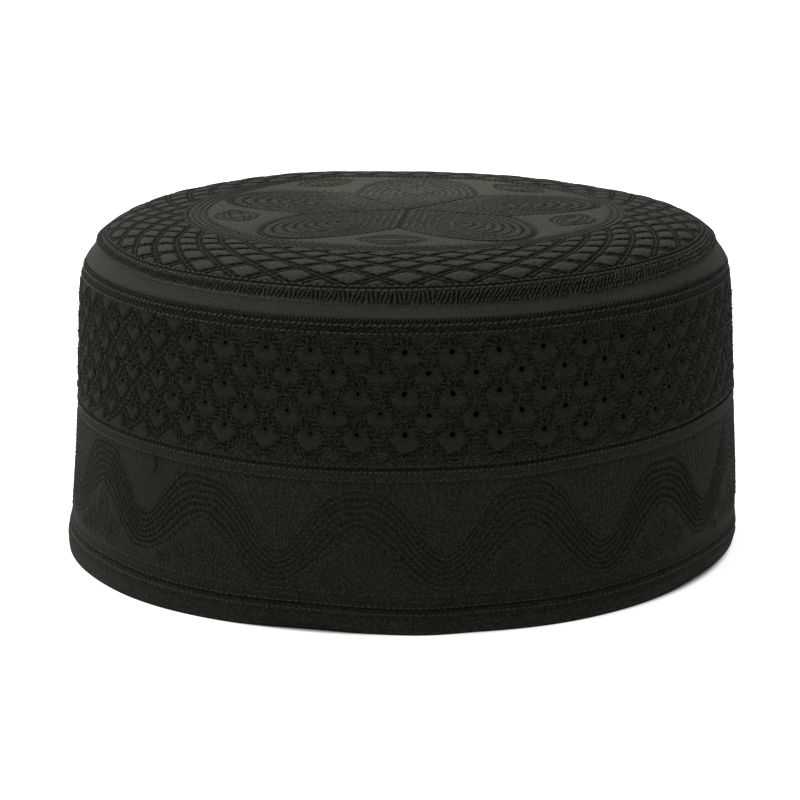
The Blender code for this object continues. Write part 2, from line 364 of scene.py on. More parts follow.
# Stitches: seed, then pitch, length, width and height as shares of the cap's own stitch sizes, slant in
# degrees, and unevenness
Stitch = namedtuple("Stitch", "seed pitch length width height slant uneven")
STITCHES = {
    "crown_lattice": Stitch(11, 0.9, 0.65, 0.6, 0.5, 0.0, 0.3),
    "rings": Stitch(12, 0.95, 0.9, 1.0, 1.0, 0.0, 0.1),
    "petals": Stitch(13, 1.0, 0.85, 0.9, 0.65, 0.0, 0.15),
    "band": Stitch(21, 1.0, 1.0, 0.75, 1.6, 0.0, 0.5),
    "over": Stitch(35, 1.0, 1.0, 0.9, 1.0, 0.0, 0.1),
    "wall_lattice": Stitch(61, 0.9, 0.7, 0.8, 0.7, 0.0, 0.6),
    "rays": Stitch(63, 1.0, 1.0, 0.7, 0.6, 0.0, 0.45),
    "waves": Stitch(71, 0.8, 0.65, 1.0, 0.9, 0.0, 0.4),
    "buds": Stitch(72, 0.85, 0.75, 0.8, 0.6, 0.0, 0.15),
    "fans": Stitch(73, 0.9, 0.65, 0.7, 0.45, 0.0, 0.2),
}
# Rows of slanted stitches over the seams: height, lift off the cloth, and stitch
Rope = namedtuple("Rope", "height lift stitch")
ROPES = {
    "seam": (
        Rope(80.3, 0.1, Stitch(31, 0.5, 0.5, 0.6, 0.6, 62.0, 0.22)),
        Rope(79.2, 0.2, Stitch(32, 0.8, 0.85, 1.0, 1.0, 24.0, 0.22)),
        Rope(78.2, -0.1, Stitch(33, 0.7, 0.5, 0.6, 0.4, 34.0, 0.22)),
        Rope(77.2, 0.2, Stitch(34, 0.85, 0.85, 0.95, 0.95, 16.0, 0.22)),
    ),
    "middle": (
        Rope(43.7, 0.05, Stitch(41, 0.7, 0.5, 0.7, 0.6, -24.0, 0.24)),
        Rope(42.3, 0.1, Stitch(42, 0.7, 0.62, 0.85, 0.85, 24.0, 0.24)),
        Rope(41.2, -0.1, Stitch(43, 0.8, 0.5, 0.5, 0.3, 50.0, 0.24)),
        Rope(40.0, 0.0, Stitch(44, 0.8, 0.6, 0.7, 0.6, 14.0, 0.24)),
    ),
    "hem": (
        Rope(10.4, 0.0, Stitch(51, 0.8, 0.55, 0.6, 0.6, 10.0, 0.24)),
        Rope(8.8, -0.05, Stitch(52, 0.7, 0.55, 0.6, 0.4, 48.0, 0.24)),
        Rope(7.3, 0.05, Stitch(53, 0.8, 0.55, 0.8, 0.8, 10.0, 0.24)),
        Rope(5.5, 0.05, Stitch(54, 0.7, 0.6, 0.75, 0.6, 0.0, 0.24)),
    ),
}
# Long stitches over the seam at the front right: first and last azimuth, gap, and where they reach highest
OVER_START, OVER_END, OVER_GAP = 28.0, 76.0, 0.92
OVER_MIDDLE, OVER_REACH, OVER_RISE = 56.0, 40.0, 1.6
# Sides and rings of one stitch
STITCH_SIDES = 5
STITCH_RINGS = 3
# Points of a petal's line, of lines that run all the way round, of the waves, and of the search for crests
PETAL_SAMPLES = 120
ROUND_SAMPLES = 360
WAVE_SAMPLES = 1400
CREST_SAMPLES = 7200
# Rays round an eyelet: angles from straight up, and distances from its middle at which they start and end
RAY_ANGLES = (-112.0, -82.0, -54.0, -18.0, 18.0, 54.0, 82.0, 112.0)
RAY_START = 1.7
RAY_END = 3.3
# The wall's lattice lines are double: half their gap, and the share of it that lies sideways
TWIN_GAP = 0.34
TWIN_SLOPE = 0.66
# A fan's rays: how many to each side, and where along them its points lie
FAN_RAYS = 9
FAN_START, FAN_END, FAN_GAP = 6.0, 34.0, 0.8
# Sizes of an eye's lines, one within the other
EYE_SHARES = (1.0, 0.68, 0.36)

# The camera stands where the photograph was taken from
CAMERA_DISTANCE = 748.0
CAMERA_ELEVATION = 13.756
CAMERA_ROLL = -0.2474
CAMERA_LENS = 118.46
CAMERA_TARGET = (-0.279, 0.0, 38.446)
FLOOR_RADIUS = 6.0
FLOOR_SIDES = 64
# The floor glows round the cap, a painted light that washes out the cap's shadow on it: strength, and where
# it sets in
FLOOR_GLOW = 0.77
GLOW_START = 0.0925
GLOW_FULL = 0.0945
# The glow of the surroundings: the same all round, more from above and more from behind
WORLD_EVEN = 0.42
WORLD_TOP = 0.35
WORLD_BACK = 0.2
WORLD_RIGHT = -0.34
# Wide soft lights: name, direction of travel, strength and angular width
SUNS = (
    ("above_behind_left", (0.5, -0.5, -1.0), 2.4, 50.0),
    ("above_front", (0.3, 0.5, -1.0), 0.45, 60.0),
)


def smooth_samples(samples, reach):
    """Even out evenly spaced samples with a bell of that many samples to each side."""
    kernel = np.exp(-0.5 * (np.arange(-reach, reach + 1) / (0.4 * reach)) ** 2)
    padded = np.pad(samples, reach, mode="reflect", reflect_type="odd")
    return np.convolve(padded, kernel / kernel.sum(), mode="valid")


def trace_outline():
    """The outer outline from the crown's centre down to the hem, evenly sampled and rounded."""
    knots = [(ring.radius, ring.height) for ring in CROWN]
    knots += [(row.radius, row.height) for row in reversed(BODY) if row.height < BODY_TOP]
    radius, height = np.array(knots).T
    steps = np.hypot(np.diff(radius), np.diff(height))
    way = np.concatenate(([0.0], np.cumsum(steps)))
    even = np.arange(0.0, way[-1], OUTLINE_STEP)
    radius = smooth_samples(np.interp(even, way, radius), ROUNDING)
    height = smooth_samples(np.interp(even, way, height), ROUNDING)
    run, drop = np.gradient(radius, even), np.gradient(height, even)
    length = np.hypot(run, drop)
    return even, radius, height, -drop / length, run / length


WAY, OUT_RADIUS, OUT_HEIGHT, LEAN_OUT, LEAN_UP = trace_outline()


def way_at(height):
    """The way at which the outline has come down to a height."""
    return np.interp(-np.asarray(height, float), -OUT_HEIGHT, WAY)


def height_at(way):
    return np.interp(way, WAY, OUT_HEIGHT)


def along(height, column):
    """One column of the body table at the heights."""
    return np.interp(height, [row.height for row in BODY], [getattr(row, column) for row in BODY])


def marked(table, azimuth):
    """A value read round the cap from a table by azimuth, eased from one place to the next."""
    first = min(table)
    places = np.array([*table, first + 360.0])
    values = np.array([*table.values(), table[first]])
    turned = (np.asarray(azimuth, float) - first) % 360.0 + first
    index = np.clip(np.searchsorted(places, turned, side="right") - 1, 0, len(table) - 1)
    share = step(turned, places[index], places[index + 1])
    return values[index] * (1.0 - share) + values[index + 1] * share


def dents(height, azimuth):
    """How far the cloth stands out at the worn hem's bulges, or in at its dents."""
    total = np.zeros(np.broadcast(height, azimuth).shape)
    for row in DENTS:
        away = (azimuth - row.azimuth + 180.0) % 360.0 - 180.0
        total = total + row.depth * bell(away, 0.0, row.half_width)
    return total * np.clip(1.0 - height / DENT_TOP, 0.0, None)


def bell(value, centre, reach):
    """1 at the centre, easing to 0 at the reach."""
    share = np.clip(np.abs(value - centre) / reach, 0.0, 1.0)
    return 0.5 * (1.0 + np.cos(np.pi * share))


def step(value, low, high):
    """Ease from 0 at low to 1 at high."""
    share = np.clip((value - low) / (high - low), 0.0, 1.0)
    return share * share * (3.0 - 2.0 * share)


def within(value, low, full, last, high):
    """Ease from 0 at low to 1 at full, and from 1 at last back to 0 at high."""
    return step(value, low, full) * (1.0 - step(value, last, high))


def ripples(table, azimuth, level=0.0):
    """The ripples of a table, added up."""
    turn = np.radians(azimuth)
    return sum(row.size * np.sin(row.waves * turn + row.climb * level + row.shift) for row in table)


def welts(table, height):
    """The level welts of a table, added up."""
    return sum(row.size * bell(height, row.height, row.reach) for row in table)


def skin(way, azimuth, out):
    """Points on the cap in metres, so far out from the plain cloth along its normal."""
    way, azimuth, out = np.broadcast_arrays(*(np.asarray(v, float) for v in (way, azimuth, out)))
    radius = np.interp(way, WAY, OUT_RADIUS) + out * np.interp(way, WAY, LEAN_OUT)
    height = np.interp(way, WAY, OUT_HEIGHT) + out * np.interp(way, WAY, LEAN_UP)
    level = height
    azimuth = azimuth + marked(SIDE_DRIFT, azimuth) * step(level, 43.5, 48.0) * step(way, 54.0, 66.0)
    height = height + marked(CROWN_LEAN, azimuth) * step(level, 84.5, 91.0) * step(way, 20.0, 66.0)
    for table, middle, reach in WANDERS:
        height = height + marked(table, azimuth) * bell(level, middle, reach)
    amid = bell(level, 60.0, 16.0)
    height = height + amid * ripples(LATTICE_RIPPLES, azimuth, level)
    azimuth = azimuth + amid * ripples(LATTICE_SWAY, azimuth, level)
    radius = radius + dents(height, azimuth)
    angle = np.radians(azimuth - 90.0)
    x = along(height, "lean") + (radius + along(height, "widening")) * np.cos(angle)
    y = radius * np.sin(angle)
    return np.stack([x, y, height], axis=-1) * MM


# Quilting patterns: how far the cloth puffs out or lies deep in the seams, and the light and shade painted on
# it

def cushion(distance, edge, softness):
    """A padded cell's share of its height, so far from a stitched line."""
    return 1.0 - np.exp(-np.clip(distance - edge, 0.0, None) / softness)


def crown_border(azimuth):
    """Way of the double line that closes the crown's lattice."""
    return marked(CROWN_BORDER, azimuth)


def crown_edge(azimuth):
    """Way of the crown's lower edge."""
    return marked(BAND_FOOT, azimuth)


def nearest(*distances):
    """The least of the distances, with the corners between them rounded."""
    return -np.log(sum(np.exp(-2.0 * distance) for distance in distances)) / 2.0


def to_line(share):
    """Distance to the nearest whole number."""
    return np.abs(share - np.round(share))


def about_axis(way, azimuth, axis):
    """Place in the medallion along and across the nearest of its spokes, one of which is the axis."""
    along_ring = np.radians(azimuth)
    x = way * np.sin(along_ring) - MEDALLION_SHIFT
    y = -way * np.cos(along_ring)
    rho = np.hypot(x, y)
    turn = np.degrees(np.arctan2(x, -y)) - axis
    sector = 360.0 / PETALS
    local = np.radians(turn - np.round(turn / sector) * sector)
    return rho * np.cos(local), rho * np.sin(local), rho


def crown_families(way, azimuth):
    """The two families of the crown's lattice lines, a whole number at each line."""
    row = (crown_border(azimuth) - way) / CROWN_ROW
    column = azimuth * CROWN_CELLS / 360.0
    return column - 0.5 * row, column + 0.5 * row


def eye_lines(way, azimuth):
    """Contours of the nearest eye between two petals, a whole number at each of its lines."""
    u, v, _ = about_axis(way, azimuth, PETAL_AXIS + 180.0 / PETALS)
    half_width = EYE_HALF_WIDTH * np.clip(1.0 - (v / EYE_HALF_LENGTH) ** 2, 0.02, 1.0)
    lines = np.clip(EYE_LINES * np.abs(u - EYE_RADIUS) / half_width, 0.5, EYE_LINES + 0.5)
    return np.where(np.abs(v) < EYE_HALF_LENGTH, lines, EYE_LINES + 0.5)


def petal_depth(way, azimuth):
    """How far inside its petal's edge a point of the medallion lies; negative between petals."""
    u, v, rho = about_axis(way, azimuth, PETAL_AXIS)
    half = math.radians(180.0 / PETALS)
    side = u * math.sin(half) - np.abs(v) * math.cos(half)
    tip = np.clip(u - PETAL_CENTRE, 0.0, None) / PETAL_REACH
    oval = np.hypot(tip, v / PETAL_HALF_WIDTH)
    return np.minimum(side, (1.0 - oval) * PETAL_HALF_WIDTH), rho


def painted_highlight_share(way, azimuth):
    """How much the painted highlight lightens the crown at a place, and flattens its lines, from 0 to 1."""
    to_side = way * np.sin(np.radians(azimuth)) - PAINTED_HIGHLIGHT_SIDE
    to_back = -way * np.cos(np.radians(azimuth)) - PAINTED_HIGHLIGHT_BACK
    return bell(np.hypot(to_side, to_back), 0.0, PAINTED_HIGHLIGHT_REACH)


def crown_relief(way, azimuth, puff):
    """Relief of the crown, and the shade and light painted on it."""
    border, edge = crown_border(azimuth), crown_edge(azimuth)
    half_cell = np.radians(180.0 / CROWN_CELLS) * np.clip(way, 30.0, None)
    line_gap = 2.0 * half_cell * CROWN_ROW / np.hypot(half_cell, CROWN_ROW)
    to_first, to_second = (to_line(family) * line_gap for family in crown_families(way, azimuth))
    from_border = np.clip(border - way, 0.0, 9.0)
    from_rings = np.clip(way - LATTICE_INNER, 0.0, 9.0) + 0.6
    inside = nearest(to_first, to_second, from_border, from_rings)
    cell = cushion(inside, 0.6, 0.4)
    in_lattice = step(way, LATTICE_INNER - 0.4, LATTICE_INNER + 0.4) * step(border - way, -0.2, 0.4)
    depth, rho = petal_depth(way, azimuth)
    ground = cushion(-depth, 0.3, 1.2) * cushion(MEDALLION_EDGE - rho, 0.5, 0.8)
    in_medallion = 1.0 - step(rho, MEDALLION_EDGE - 0.4, MEDALLION_EDGE + 0.2)
    to_front = 0.4 + 0.6 * step(np.cos(np.radians(azimuth)), -0.2, 0.5)
    relief = in_lattice * (0.75 * cell - 0.3) * puff * to_front
    relief = relief + in_medallion * (0.55 * ground - 0.1 - 0.35 * bell(depth, 0.0, 1.0)) * puff
    rings = np.minimum(to_line((rho - MEDALLION_EDGE) / RING_GAP), 0.5)
    in_rings = step(rho, MEDALLION_EDGE - 0.4, MEDALLION_EDGE) * (
        1.0 - step(way, LATTICE_INNER - 0.4, LATTICE_INNER + 0.4))
    relief = relief + in_rings * (0.5 * rings - 0.2) * puff
    in_band = step(way - border, 0.0, 0.8)
    relief = relief - 0.25 * bell(way, border, 1.4) - 0.1 * in_band
    relief = relief + 0.45 * bell(way, edge - 0.7, 1.6) * in_band
    relief = relief - 1.1 * step(way, edge - 0.5, edge + 0.1)
    # Painted shade: darker in the lattice's valleys, over the petals' ground and along their edges, at the
    # border's line, in the band and the rings; the band is painted lighter towards the left, and the painted
    # highlight lightens the back of the crown
    cavity = in_lattice * (0.34 + 0.5 * (1.0 - np.clip(1.5 * cell, 0.0, 1.0)))
    petal_painted_shading = 0.1 + 0.16 * (1.0 - ground) * step(rho, 6.0, 26.0) + 0.8 * bell(depth, 0.0, 0.9)
    cavity = cavity + in_medallion * petal_painted_shading
    cavity = cavity + 0.8 * bell(way, border, 1.0)
    cavity = cavity + (0.2 + 0.42 * step(azimuth, -36.0, 4.0)) * in_band + 0.25 * in_rings
    return relief, np.clip(cavity, 0.0, 1.0) - 0.8 * painted_highlight_share(way, azimuth)


def crown_pattern(way, azimuth):
    """Lines sunk into the crown: two lattice families and a set of contours, and how far each shows."""
    border, edge = crown_border(azimuth), crown_edge(azimuth)
    depth, rho = petal_depth(way, azimuth)
    in_lattice = step(way, LATTICE_INNER - 0.4, LATTICE_INNER + 0.2) * step(border - way, 0.3, 0.8)
    in_petal = step(depth, -0.2, 0.3) * (1.0 - step(rho, MEDALLION_EDGE - 1.0, MEDALLION_EDGE - 0.5))
    in_rings = step(rho, MEDALLION_EDGE - 0.6, MEDALLION_EDGE - 0.3)
    in_rings = in_rings * (1.0 - step(way, LATTICE_INNER - 0.5, LATTICE_INNER))
    in_band = step(way - border, 0.9, 1.3) * step(edge - way, 0.7, 1.0)
    stroke = (azimuth + band_lean(way, azimuth)) * BAND_STROKES / 360.0
    contour = np.where(rho > MEDALLION_EDGE - 0.8, (rho - MEDALLION_EDGE) / RING_GAP,
                       (depth - PETAL_FIRST_ROW) / PETAL_ROW_STEP)
    eyes = eye_lines(way, azimuth)
    in_eye = (depth < -0.2) & (rho < MEDALLION_EDGE - 0.8) & (eyes < EYE_LINES + 0.4)
    contour = np.where(in_eye, eyes, contour)
    contour = np.where(way > border, stroke, contour)
    shows = (in_petal + in_eye) * (1.0 - 0.6 * painted_highlight_share(way, azimuth)) + in_rings + in_band
    nap = 0.5 + 0.4 * in_petal + 0.5 * in_band - 0.1 * in_lattice
    lines = np.stack([*crown_families(way, azimuth), contour], axis=-1)
    return lines, np.stack([in_lattice, shows, nap], axis=-1)


def band_lean(way, azimuth):
    """Degrees by which a satin stitch from an azimuth has drifted by the time it reaches the way."""
    swing = marked(BAND_SWING, azimuth) * np.sin(np.radians(azimuth) * BAND_SCROLLS)
    slant = marked(BAND_SLANT, azimuth) + swing
    middle = 0.5 * (crown_border(azimuth) + crown_edge(azimuth))
    return np.degrees(slant * (way - middle) / BAND_LEVEL)


def wall_families(height, azimuth):
    """The two families of the wall's lattice lines, a whole number at each line."""
    row = (LATTICE_TOP - height) / EYELET_ROW_STEP
    column = (azimuth - EYELET_SHIFT) * EYELET_COLUMNS / 360.0
    return column - 0.5 * row, column + 0.5 * row


def eyelet_cell(height, azimuth):
    """Distances, in millimetres, to the two families of lattice lines of the wall."""
    half_width = math.radians(180.0 / EYELET_COLUMNS) * EYELET_LEVEL
    line_gap = 2.0 * half_width * EYELET_ROW_STEP / math.hypot(half_width, EYELET_ROW_STEP)
    return tuple(to_line(family) * line_gap for family in wall_families(height, azimuth))


def eyelet_distance(height, azimuth):
    """Distance to the nearest eyelet's centre, sideways and upwards."""
    row = np.clip(np.round((EYELET_TOP_ROW - height) / EYELET_ROW_STEP), 0, EYELET_ROWS - 1)
    pitch = 360.0 / EYELET_COLUMNS
    first = EYELET_SHIFT + 0.5 * pitch * (row % 2)
    column = np.round((azimuth - first) / pitch)
    side = np.radians(azimuth - first - column * pitch) * EYELET_LEVEL
    return side, height - (EYELET_TOP_ROW - row * EYELET_ROW_STEP)


def shield_reach(side, up):
    """1 at the edge of the smooth shield below an eyelet, less inside it."""
    return np.hypot(side / 3.4, (up + 1.5) / 3.1) * (1.0 + 0.12 * np.sin(2.1 * side + 1.3 * up))


def smooth_cells(height, azimuth):
    """Where the cloth is left smooth: shields at the front, whole cells at the sides; and their outlines."""
    from_line = nearest(*eyelet_cell(height, azimuth))
    shield = shield_reach(*eyelet_distance(height, azimuth))
    to_side = step(np.abs(azimuth), 28.0, 52.0)
    smooth = (1.0 - to_side) * (1.0 - step(shield, 0.8, 1.1)) + to_side * step(from_line, 1.2, 1.7)
    outline = (1.0 - to_side) * bell(shield, 1.15, 0.2) + to_side * bell(from_line, 1.05, 0.5)
    worn = 1.0 - 0.6 * within(azimuth, 22.0, 50.0, 85.0, 110.0)
    return smooth * worn, outline * worn, to_side * bell(from_line, 0.0, 0.7)


def upper_wall_relief(height, azimuth, puff):
    """Relief of the pierced part of the wall, and the shade painted on it."""
    smooth, outline, ridge = smooth_cells(height, azimuth)
    pad = 0.45 * cushion(nearest(*eyelet_cell(height, azimuth)), 0.4, 0.7)
    pad = pad + 0.45 * smooth - 0.35 * outline + 0.35 * ridge
    from_eyelet = np.hypot(*eyelet_distance(height, azimuth))
    pad = pad * step(from_eyelet, 0.7, 2.0)
    zone = within(height, LATTICE_FOOT - 0.6, LATTICE_FOOT + 0.6, LATTICE_TOP - 0.6, LATTICE_TOP + 0.4)
    relief = zone * (0.85 * pad - 0.3) * puff
    relief = relief + 0.12 * bell(from_eyelet, 1.4, 0.8) * zone + welts(UPPER_FURROWS, height)
    # Painted shade: darker in the valleys between pads and along the shields' outlines, darker on the right
    # side of the cap, and along the seams
    cavity = 0.3 * zone * (1.0 - np.clip(1.5 * pad, 0.0, 1.0)) + 0.65 * zone * outline
    cavity = cavity + 0.14 * zone * within(azimuth, 15.0, 45.0, 80.0, 110.0) + welts(UPPER_PAINTED_SHADE, height)
    return relief, np.clip(cavity, 0.0, 1.0)


def upper_wall_pattern(way, azimuth):
    """The wall's lattice lines, and the stitched ground round its smooth cells."""
    height = height_at(way)
    zone = within(height, LATTICE_FOOT - 0.6, LATTICE_FOOT, LATTICE_TOP - 0.2, LATTICE_TOP + 0.4)
    zone = zone * (0.35 + 0.4 * step(np.abs(azimuth), 18.0, 50.0))
    smooth, _, _ = smooth_cells(height, azimuth)
    nothing = 0.0 * zone
    lines = np.stack([*wall_families(height, azimuth), 0.5 + nothing], axis=-1)
    return lines, np.stack([zone, nothing, 0.9 - 0.7 * smooth], axis=-1)


def wave_phase(azimuth):
    """Phase of the waves, 0 at a crest; they stand a little wider at the front."""
    def raw(value):
        return np.radians(WAVES * value - WAVE_CROWDING * np.sin(np.radians(value)))
    return raw(np.asarray(azimuth, float)) - raw(WAVE_CREST)


def wave_height(azimuth, row):
    """Height of a row of the waves; row 0 is the lowest."""
    fallen = 0.5 - 0.5 * np.cos(wave_phase(azimuth))
    fall = np.clip(fallen, 1e-6, 1.0) ** (WAVE_ROUNDNESS + WAVE_ROUNDER * row)
    crest = WAVE_CREST_LOW + row * WAVE_CREST_STEP
    trough = WAVE_TROUGH_LOW + row * WAVE_TROUGH_STEP
    return crest + (trough - crest) * fall + marked(WAVE_RISE, azimuth) + ripples(WAVE_RIPPLES, azimuth, row)


def wave_row(height, azimuth):
    """The row, counted in fractions, that passes through a place."""
    row = np.zeros(np.broadcast(height, azimuth).shape)
    for _ in range(6):
        away = height - wave_height(azimuth, row)
        gap = wave_height(azimuth, row + 0.5) - wave_height(azimuth, row - 0.5)
        row = np.clip(row + away / np.maximum(gap, 1.0), -4.0, WAVE_ROWS + 12.0)
    return row


def beside_crest(azimuth):
    """Millimetres to the nearest crest, to the right of it."""
    turns = wave_phase(azimuth) / (2.0 * np.pi)
    return (turns - np.round(turns)) * 2.0 * np.pi / WAVES * WAVE_LEVEL


def bud_lines(height, azimuth):
    """Contours of the nearest bud, a whole number at each of its lines and none outside."""
    side = beside_crest(azimuth)
    reach = np.full(np.shape(side), 9.0)
    for bud in BUDS:
        lean = math.radians(bud.lean)
        x, z = side - bud.side, height - bud.height
        across, rise = x * math.cos(lean) - z * math.sin(lean), z * math.cos(lean) + x * math.sin(lean)
        reach = np.minimum(reach, np.hypot(across / bud.half_width, rise / bud.half_length))
    return np.clip(BUD_LINES * reach, 0.5, BUD_LINES + 0.5)


def crease(height, azimuth):
    """The short fold left of the front, just below the middle cord, and the shade painted in it."""
    bend = CREASE_TURN - 0.18 * (height - CREASE_HEIGHT) ** 2 * np.where(height > CREASE_HEIGHT, 1.0, 0.6)
    away = (azimuth - bend) * math.radians(CREASE_LEVEL)
    reach = bell(height, 37.4, 5.4)
    return reach * (0.55 * bell(away, 1.1, 1.5) - 0.75 * bell(away, 0.0, 0.9)), reach * bell(away, 0.0, 0.8)


def lower_wall_relief(height, azimuth, puff):
    """Relief of the part of the wall that carries the waves, and the light and shade painted on it."""
    row = wave_row(height, azimuth)
    in_rows = within(row, -0.3, 0.2, WAVE_ROWS - 1.2, WAVE_ROWS - 0.7)
    ridge = np.abs(np.sin(np.pi * row))
    to_side = step(np.abs(azimuth), 25.0, 55.0)
    near_edge = step(np.abs(azimuth), 68.0, 84.0)
    relief = in_rows * (0.35 * ridge - 0.2) * puff * (1.0 + 0.9 * to_side) * (1.0 - 0.75 * near_edge)
    relief = relief + 0.15 * (1.0 - in_rows) * (1.0 - near_edge) * puff * step(height, 11.0, 12.0)
    fold, painted_fold_shade = crease(height, azimuth)
    relief = relief + fold + welts(LOWER_FURROWS, height)
    # Painted light and shade: ridges between rows lighter and grooves darker, more so at the sides; darker in
    # the crease and along the seams; lighter low on the right
    cavity = in_rows * (0.15 - (0.15 + 0.4 * to_side) * ridge) + painted_fold_shade + welts(LOWER_PAINTED_SHADE, height)
    cavity = cavity - 0.4 * step(azimuth, 45.0, 75.0) * (1.0 - step(height, 26.0, 36.0))
    return relief, np.clip(cavity, -0.7, 1.0)


def fan_ray(height, azimuth):
    """Angle from the trough below, counted in fan rays."""
    phase = wave_phase(azimuth)
    trough = np.pi * (2.0 * np.floor(phase / (2.0 * np.pi)) + 1.0)
    side = (phase - trough) / WAVES * WAVE_LEVEL
    return np.degrees(np.arctan2(side, height - FAN_FOCUS)) / FAN_STEP


def lower_wall_pattern(way, azimuth):
    """Grooves between the rows of the waves, fans above them, buds below them, and the stitched ground."""
    height = height_at(way)
    row = wave_row(height, azimuth) + 0.5
    fan = fan_ray(height, azimuth)
    bud = bud_lines(height, azimuth)
    plain = bell(azimuth, PLAIN_TROUGH, PLAIN_REACH) > 0.0
    above, below = row > WAVE_ROWS + 0.2, row < -0.5
    shows = np.where(above, 0.2 * (height < FAN_TOP) * ~plain, np.where(below, 0.85, 1.0))
    to_side = step(np.abs(azimuth), 18.0, 55.0)
    shows = shows * (0.55 + 0.8 * to_side)
    nap = np.where(above, np.where(plain, 0.3, 0.8), np.where(below, 0.35 + 0.6 * (bud > BUD_LINES), 0.85))
    nap = nap * (0.75 - 0.3 * to_side)
    clear = (np.abs(row - WAVE_ROWS - 0.2) > 0.4) & (np.abs(row + 0.5) > 0.4)
    shows = shows * clear
    contour = np.where(above, fan, np.where(below, bud, row))
    nothing = np.zeros(np.shape(row))
    dash = np.radians(azimuth) * WAVE_LEVEL / WAVE_DASH + 0.4 * row
    lines = np.stack([dash, nothing + 0.5, contour], axis=-1)
    return lines, np.stack([nothing, shows * (height > 11.0), nap], axis=-1)


def hem_relief(height, azimuth, puff):
    """Relief of the folded hem, and the shade painted along its furrows."""
    relief = welts(HEM_WELTS, height) + ripples(HEM_RIPPLES, azimuth) * bell(height, 2.5, 2.5) * puff
    # Painted shade along the hem's furrows
    return relief, np.clip(welts(HEM_PAINTED_SHADE, height), 0.0, 1.0)


def plain_pattern(nap):
    """A pattern without lines, with the same nap all over."""
    def pattern(way, azimuth):
        nothing = np.zeros((*np.shape(way), 3))
        return nothing + 0.5, nothing + (0.0, 0.0, nap)
    return pattern


def roll_relief(height, azimuth, puff):
    """Relief of the plain strip under the crown's edge, and the light and shade painted on it."""
    ripple = ripples(STRIP_RIPPLES, azimuth) * puff
    # Painted light and shade: darker at the left and back, lighter from the front round to the right; darker
    # at the strip's foot, under the seam
    cavity = 0.12 - 0.42 * step(azimuth, -60.0, 20.0) * (1.0 - 0.6 * step(azimuth, 100.0, 170.0))
    cavity = cavity + 0.7 * (1.0 - step(height, 80.6, 81.2))
    return ripple - 0.15 * (1.0 - step(height, 80.7, 81.4)), cavity


# Cloth meshes

def linked(name, data):
    """A new object in the scene."""
    made = bpy.data.objects.new(name, data)
    bpy.context.scene.collection.objects.link(made)
    return made


class Cloth:
    """Rings of points round the cap and the faces between them, which make one closed piece of cloth."""

    def __init__(self):
        self.points = []
        self.azimuths = []
        self.levels = []
        self.painted_shadings = []
        self.faces = []
        self.count = 0

    def ring(self, way, azimuth, out, cavity=0.0):
        """Add points and give back their numbers."""
        azimuth = np.asarray(azimuth, float)
        way, cavity = (np.broadcast_to(value, azimuth.shape) for value in (way, cavity))
        self.points.append(skin(way, azimuth, out))
        self.azimuths.append(azimuth)
        self.levels.append(way)
        self.painted_shadings.append(cavity)
        numbers = np.arange(self.count, self.count + len(azimuth))
        self.count += len(azimuth)
        return numbers

    def bridge(self, upper, lower, left_out=()):
        """Faces between two rings; one may have a whole number of times the other's points."""
        coarse = min(len(upper), len(lower))
        a, b = len(upper) // coarse, len(lower) // coarse
        above, below = np.append(upper, upper[0]), np.append(lower, lower[0])
        for index in range(coarse):
            if index not in left_out:
                head = above[index * a:index * a + a + 1]
                foot = below[index * b:index * b + b + 1]
                self.faces.append([*head[::-1].tolist(), *foot.tolist()])

    def cap(self, centre, ring, upwards):
        """A fan of triangles from one point to a ring."""
        for first, second in zip(ring, np.roll(ring, -1)):
            self.faces.append([centre, first, second] if upwards else [centre, second, first])

    def build(self, name, finish, pattern):
        """The mesh object, smooth, with its cloth map, its painted light and shade and its sewn lines."""
        data = bpy.data.meshes.new(name)
        data.from_pydata(np.concatenate(self.points).tolist(), [], self.faces)
        data.shade_smooth()
        data.materials.append(finish)
        cavity = data.attributes.new("cavity", "FLOAT", "POINT")
        cavity.data.foreach_set("value", np.concatenate(self.painted_shadings).astype(np.float32))
        turn, level = self.corners(data)
        layer = data.uv_layers.new(name="cloth")
        coordinates = np.stack([turn / 360.0 * CLOTH_ROUND, level * 0.1], axis=-1)
        layer.data.foreach_set("uv", coordinates.astype(np.float32).ravel())
        for title, values in zip(("lines", "sewn"), pattern(level, turn)):
            attribute = data.attributes.new(title, "FLOAT_VECTOR", "CORNER")
            attribute.data.foreach_set("vector", values.astype(np.float32).ravel())
        data.validate()
        return linked(name, data)

    def corners(self, data):
        """Azimuth and way at each face's corners, with no jump inside a face at the back."""
        corners = np.empty(len(data.loops), int)
        data.loops.foreach_get("vertex_index", corners)
        starts = np.empty(len(data.polygons), int)
        data.polygons.foreach_get("loop_start", starts)
        totals = np.empty(len(data.polygons), int)
        data.polygons.foreach_get("loop_total", totals)
        turn = np.concatenate(self.azimuths)[corners]
        highest = np.repeat(np.maximum.reduceat(turn, starts), totals)
        turn = np.where(highest - turn > 180.0, turn + 360.0, turn)
        return turn, np.concatenate(self.levels)[corners]


def round_the_cap(count):
    """Azimuths of so many evenly spaced columns, from the back and round by the left."""
    return EYELET_SHIFT - 180.0 + np.arange(count) * 360.0 / count


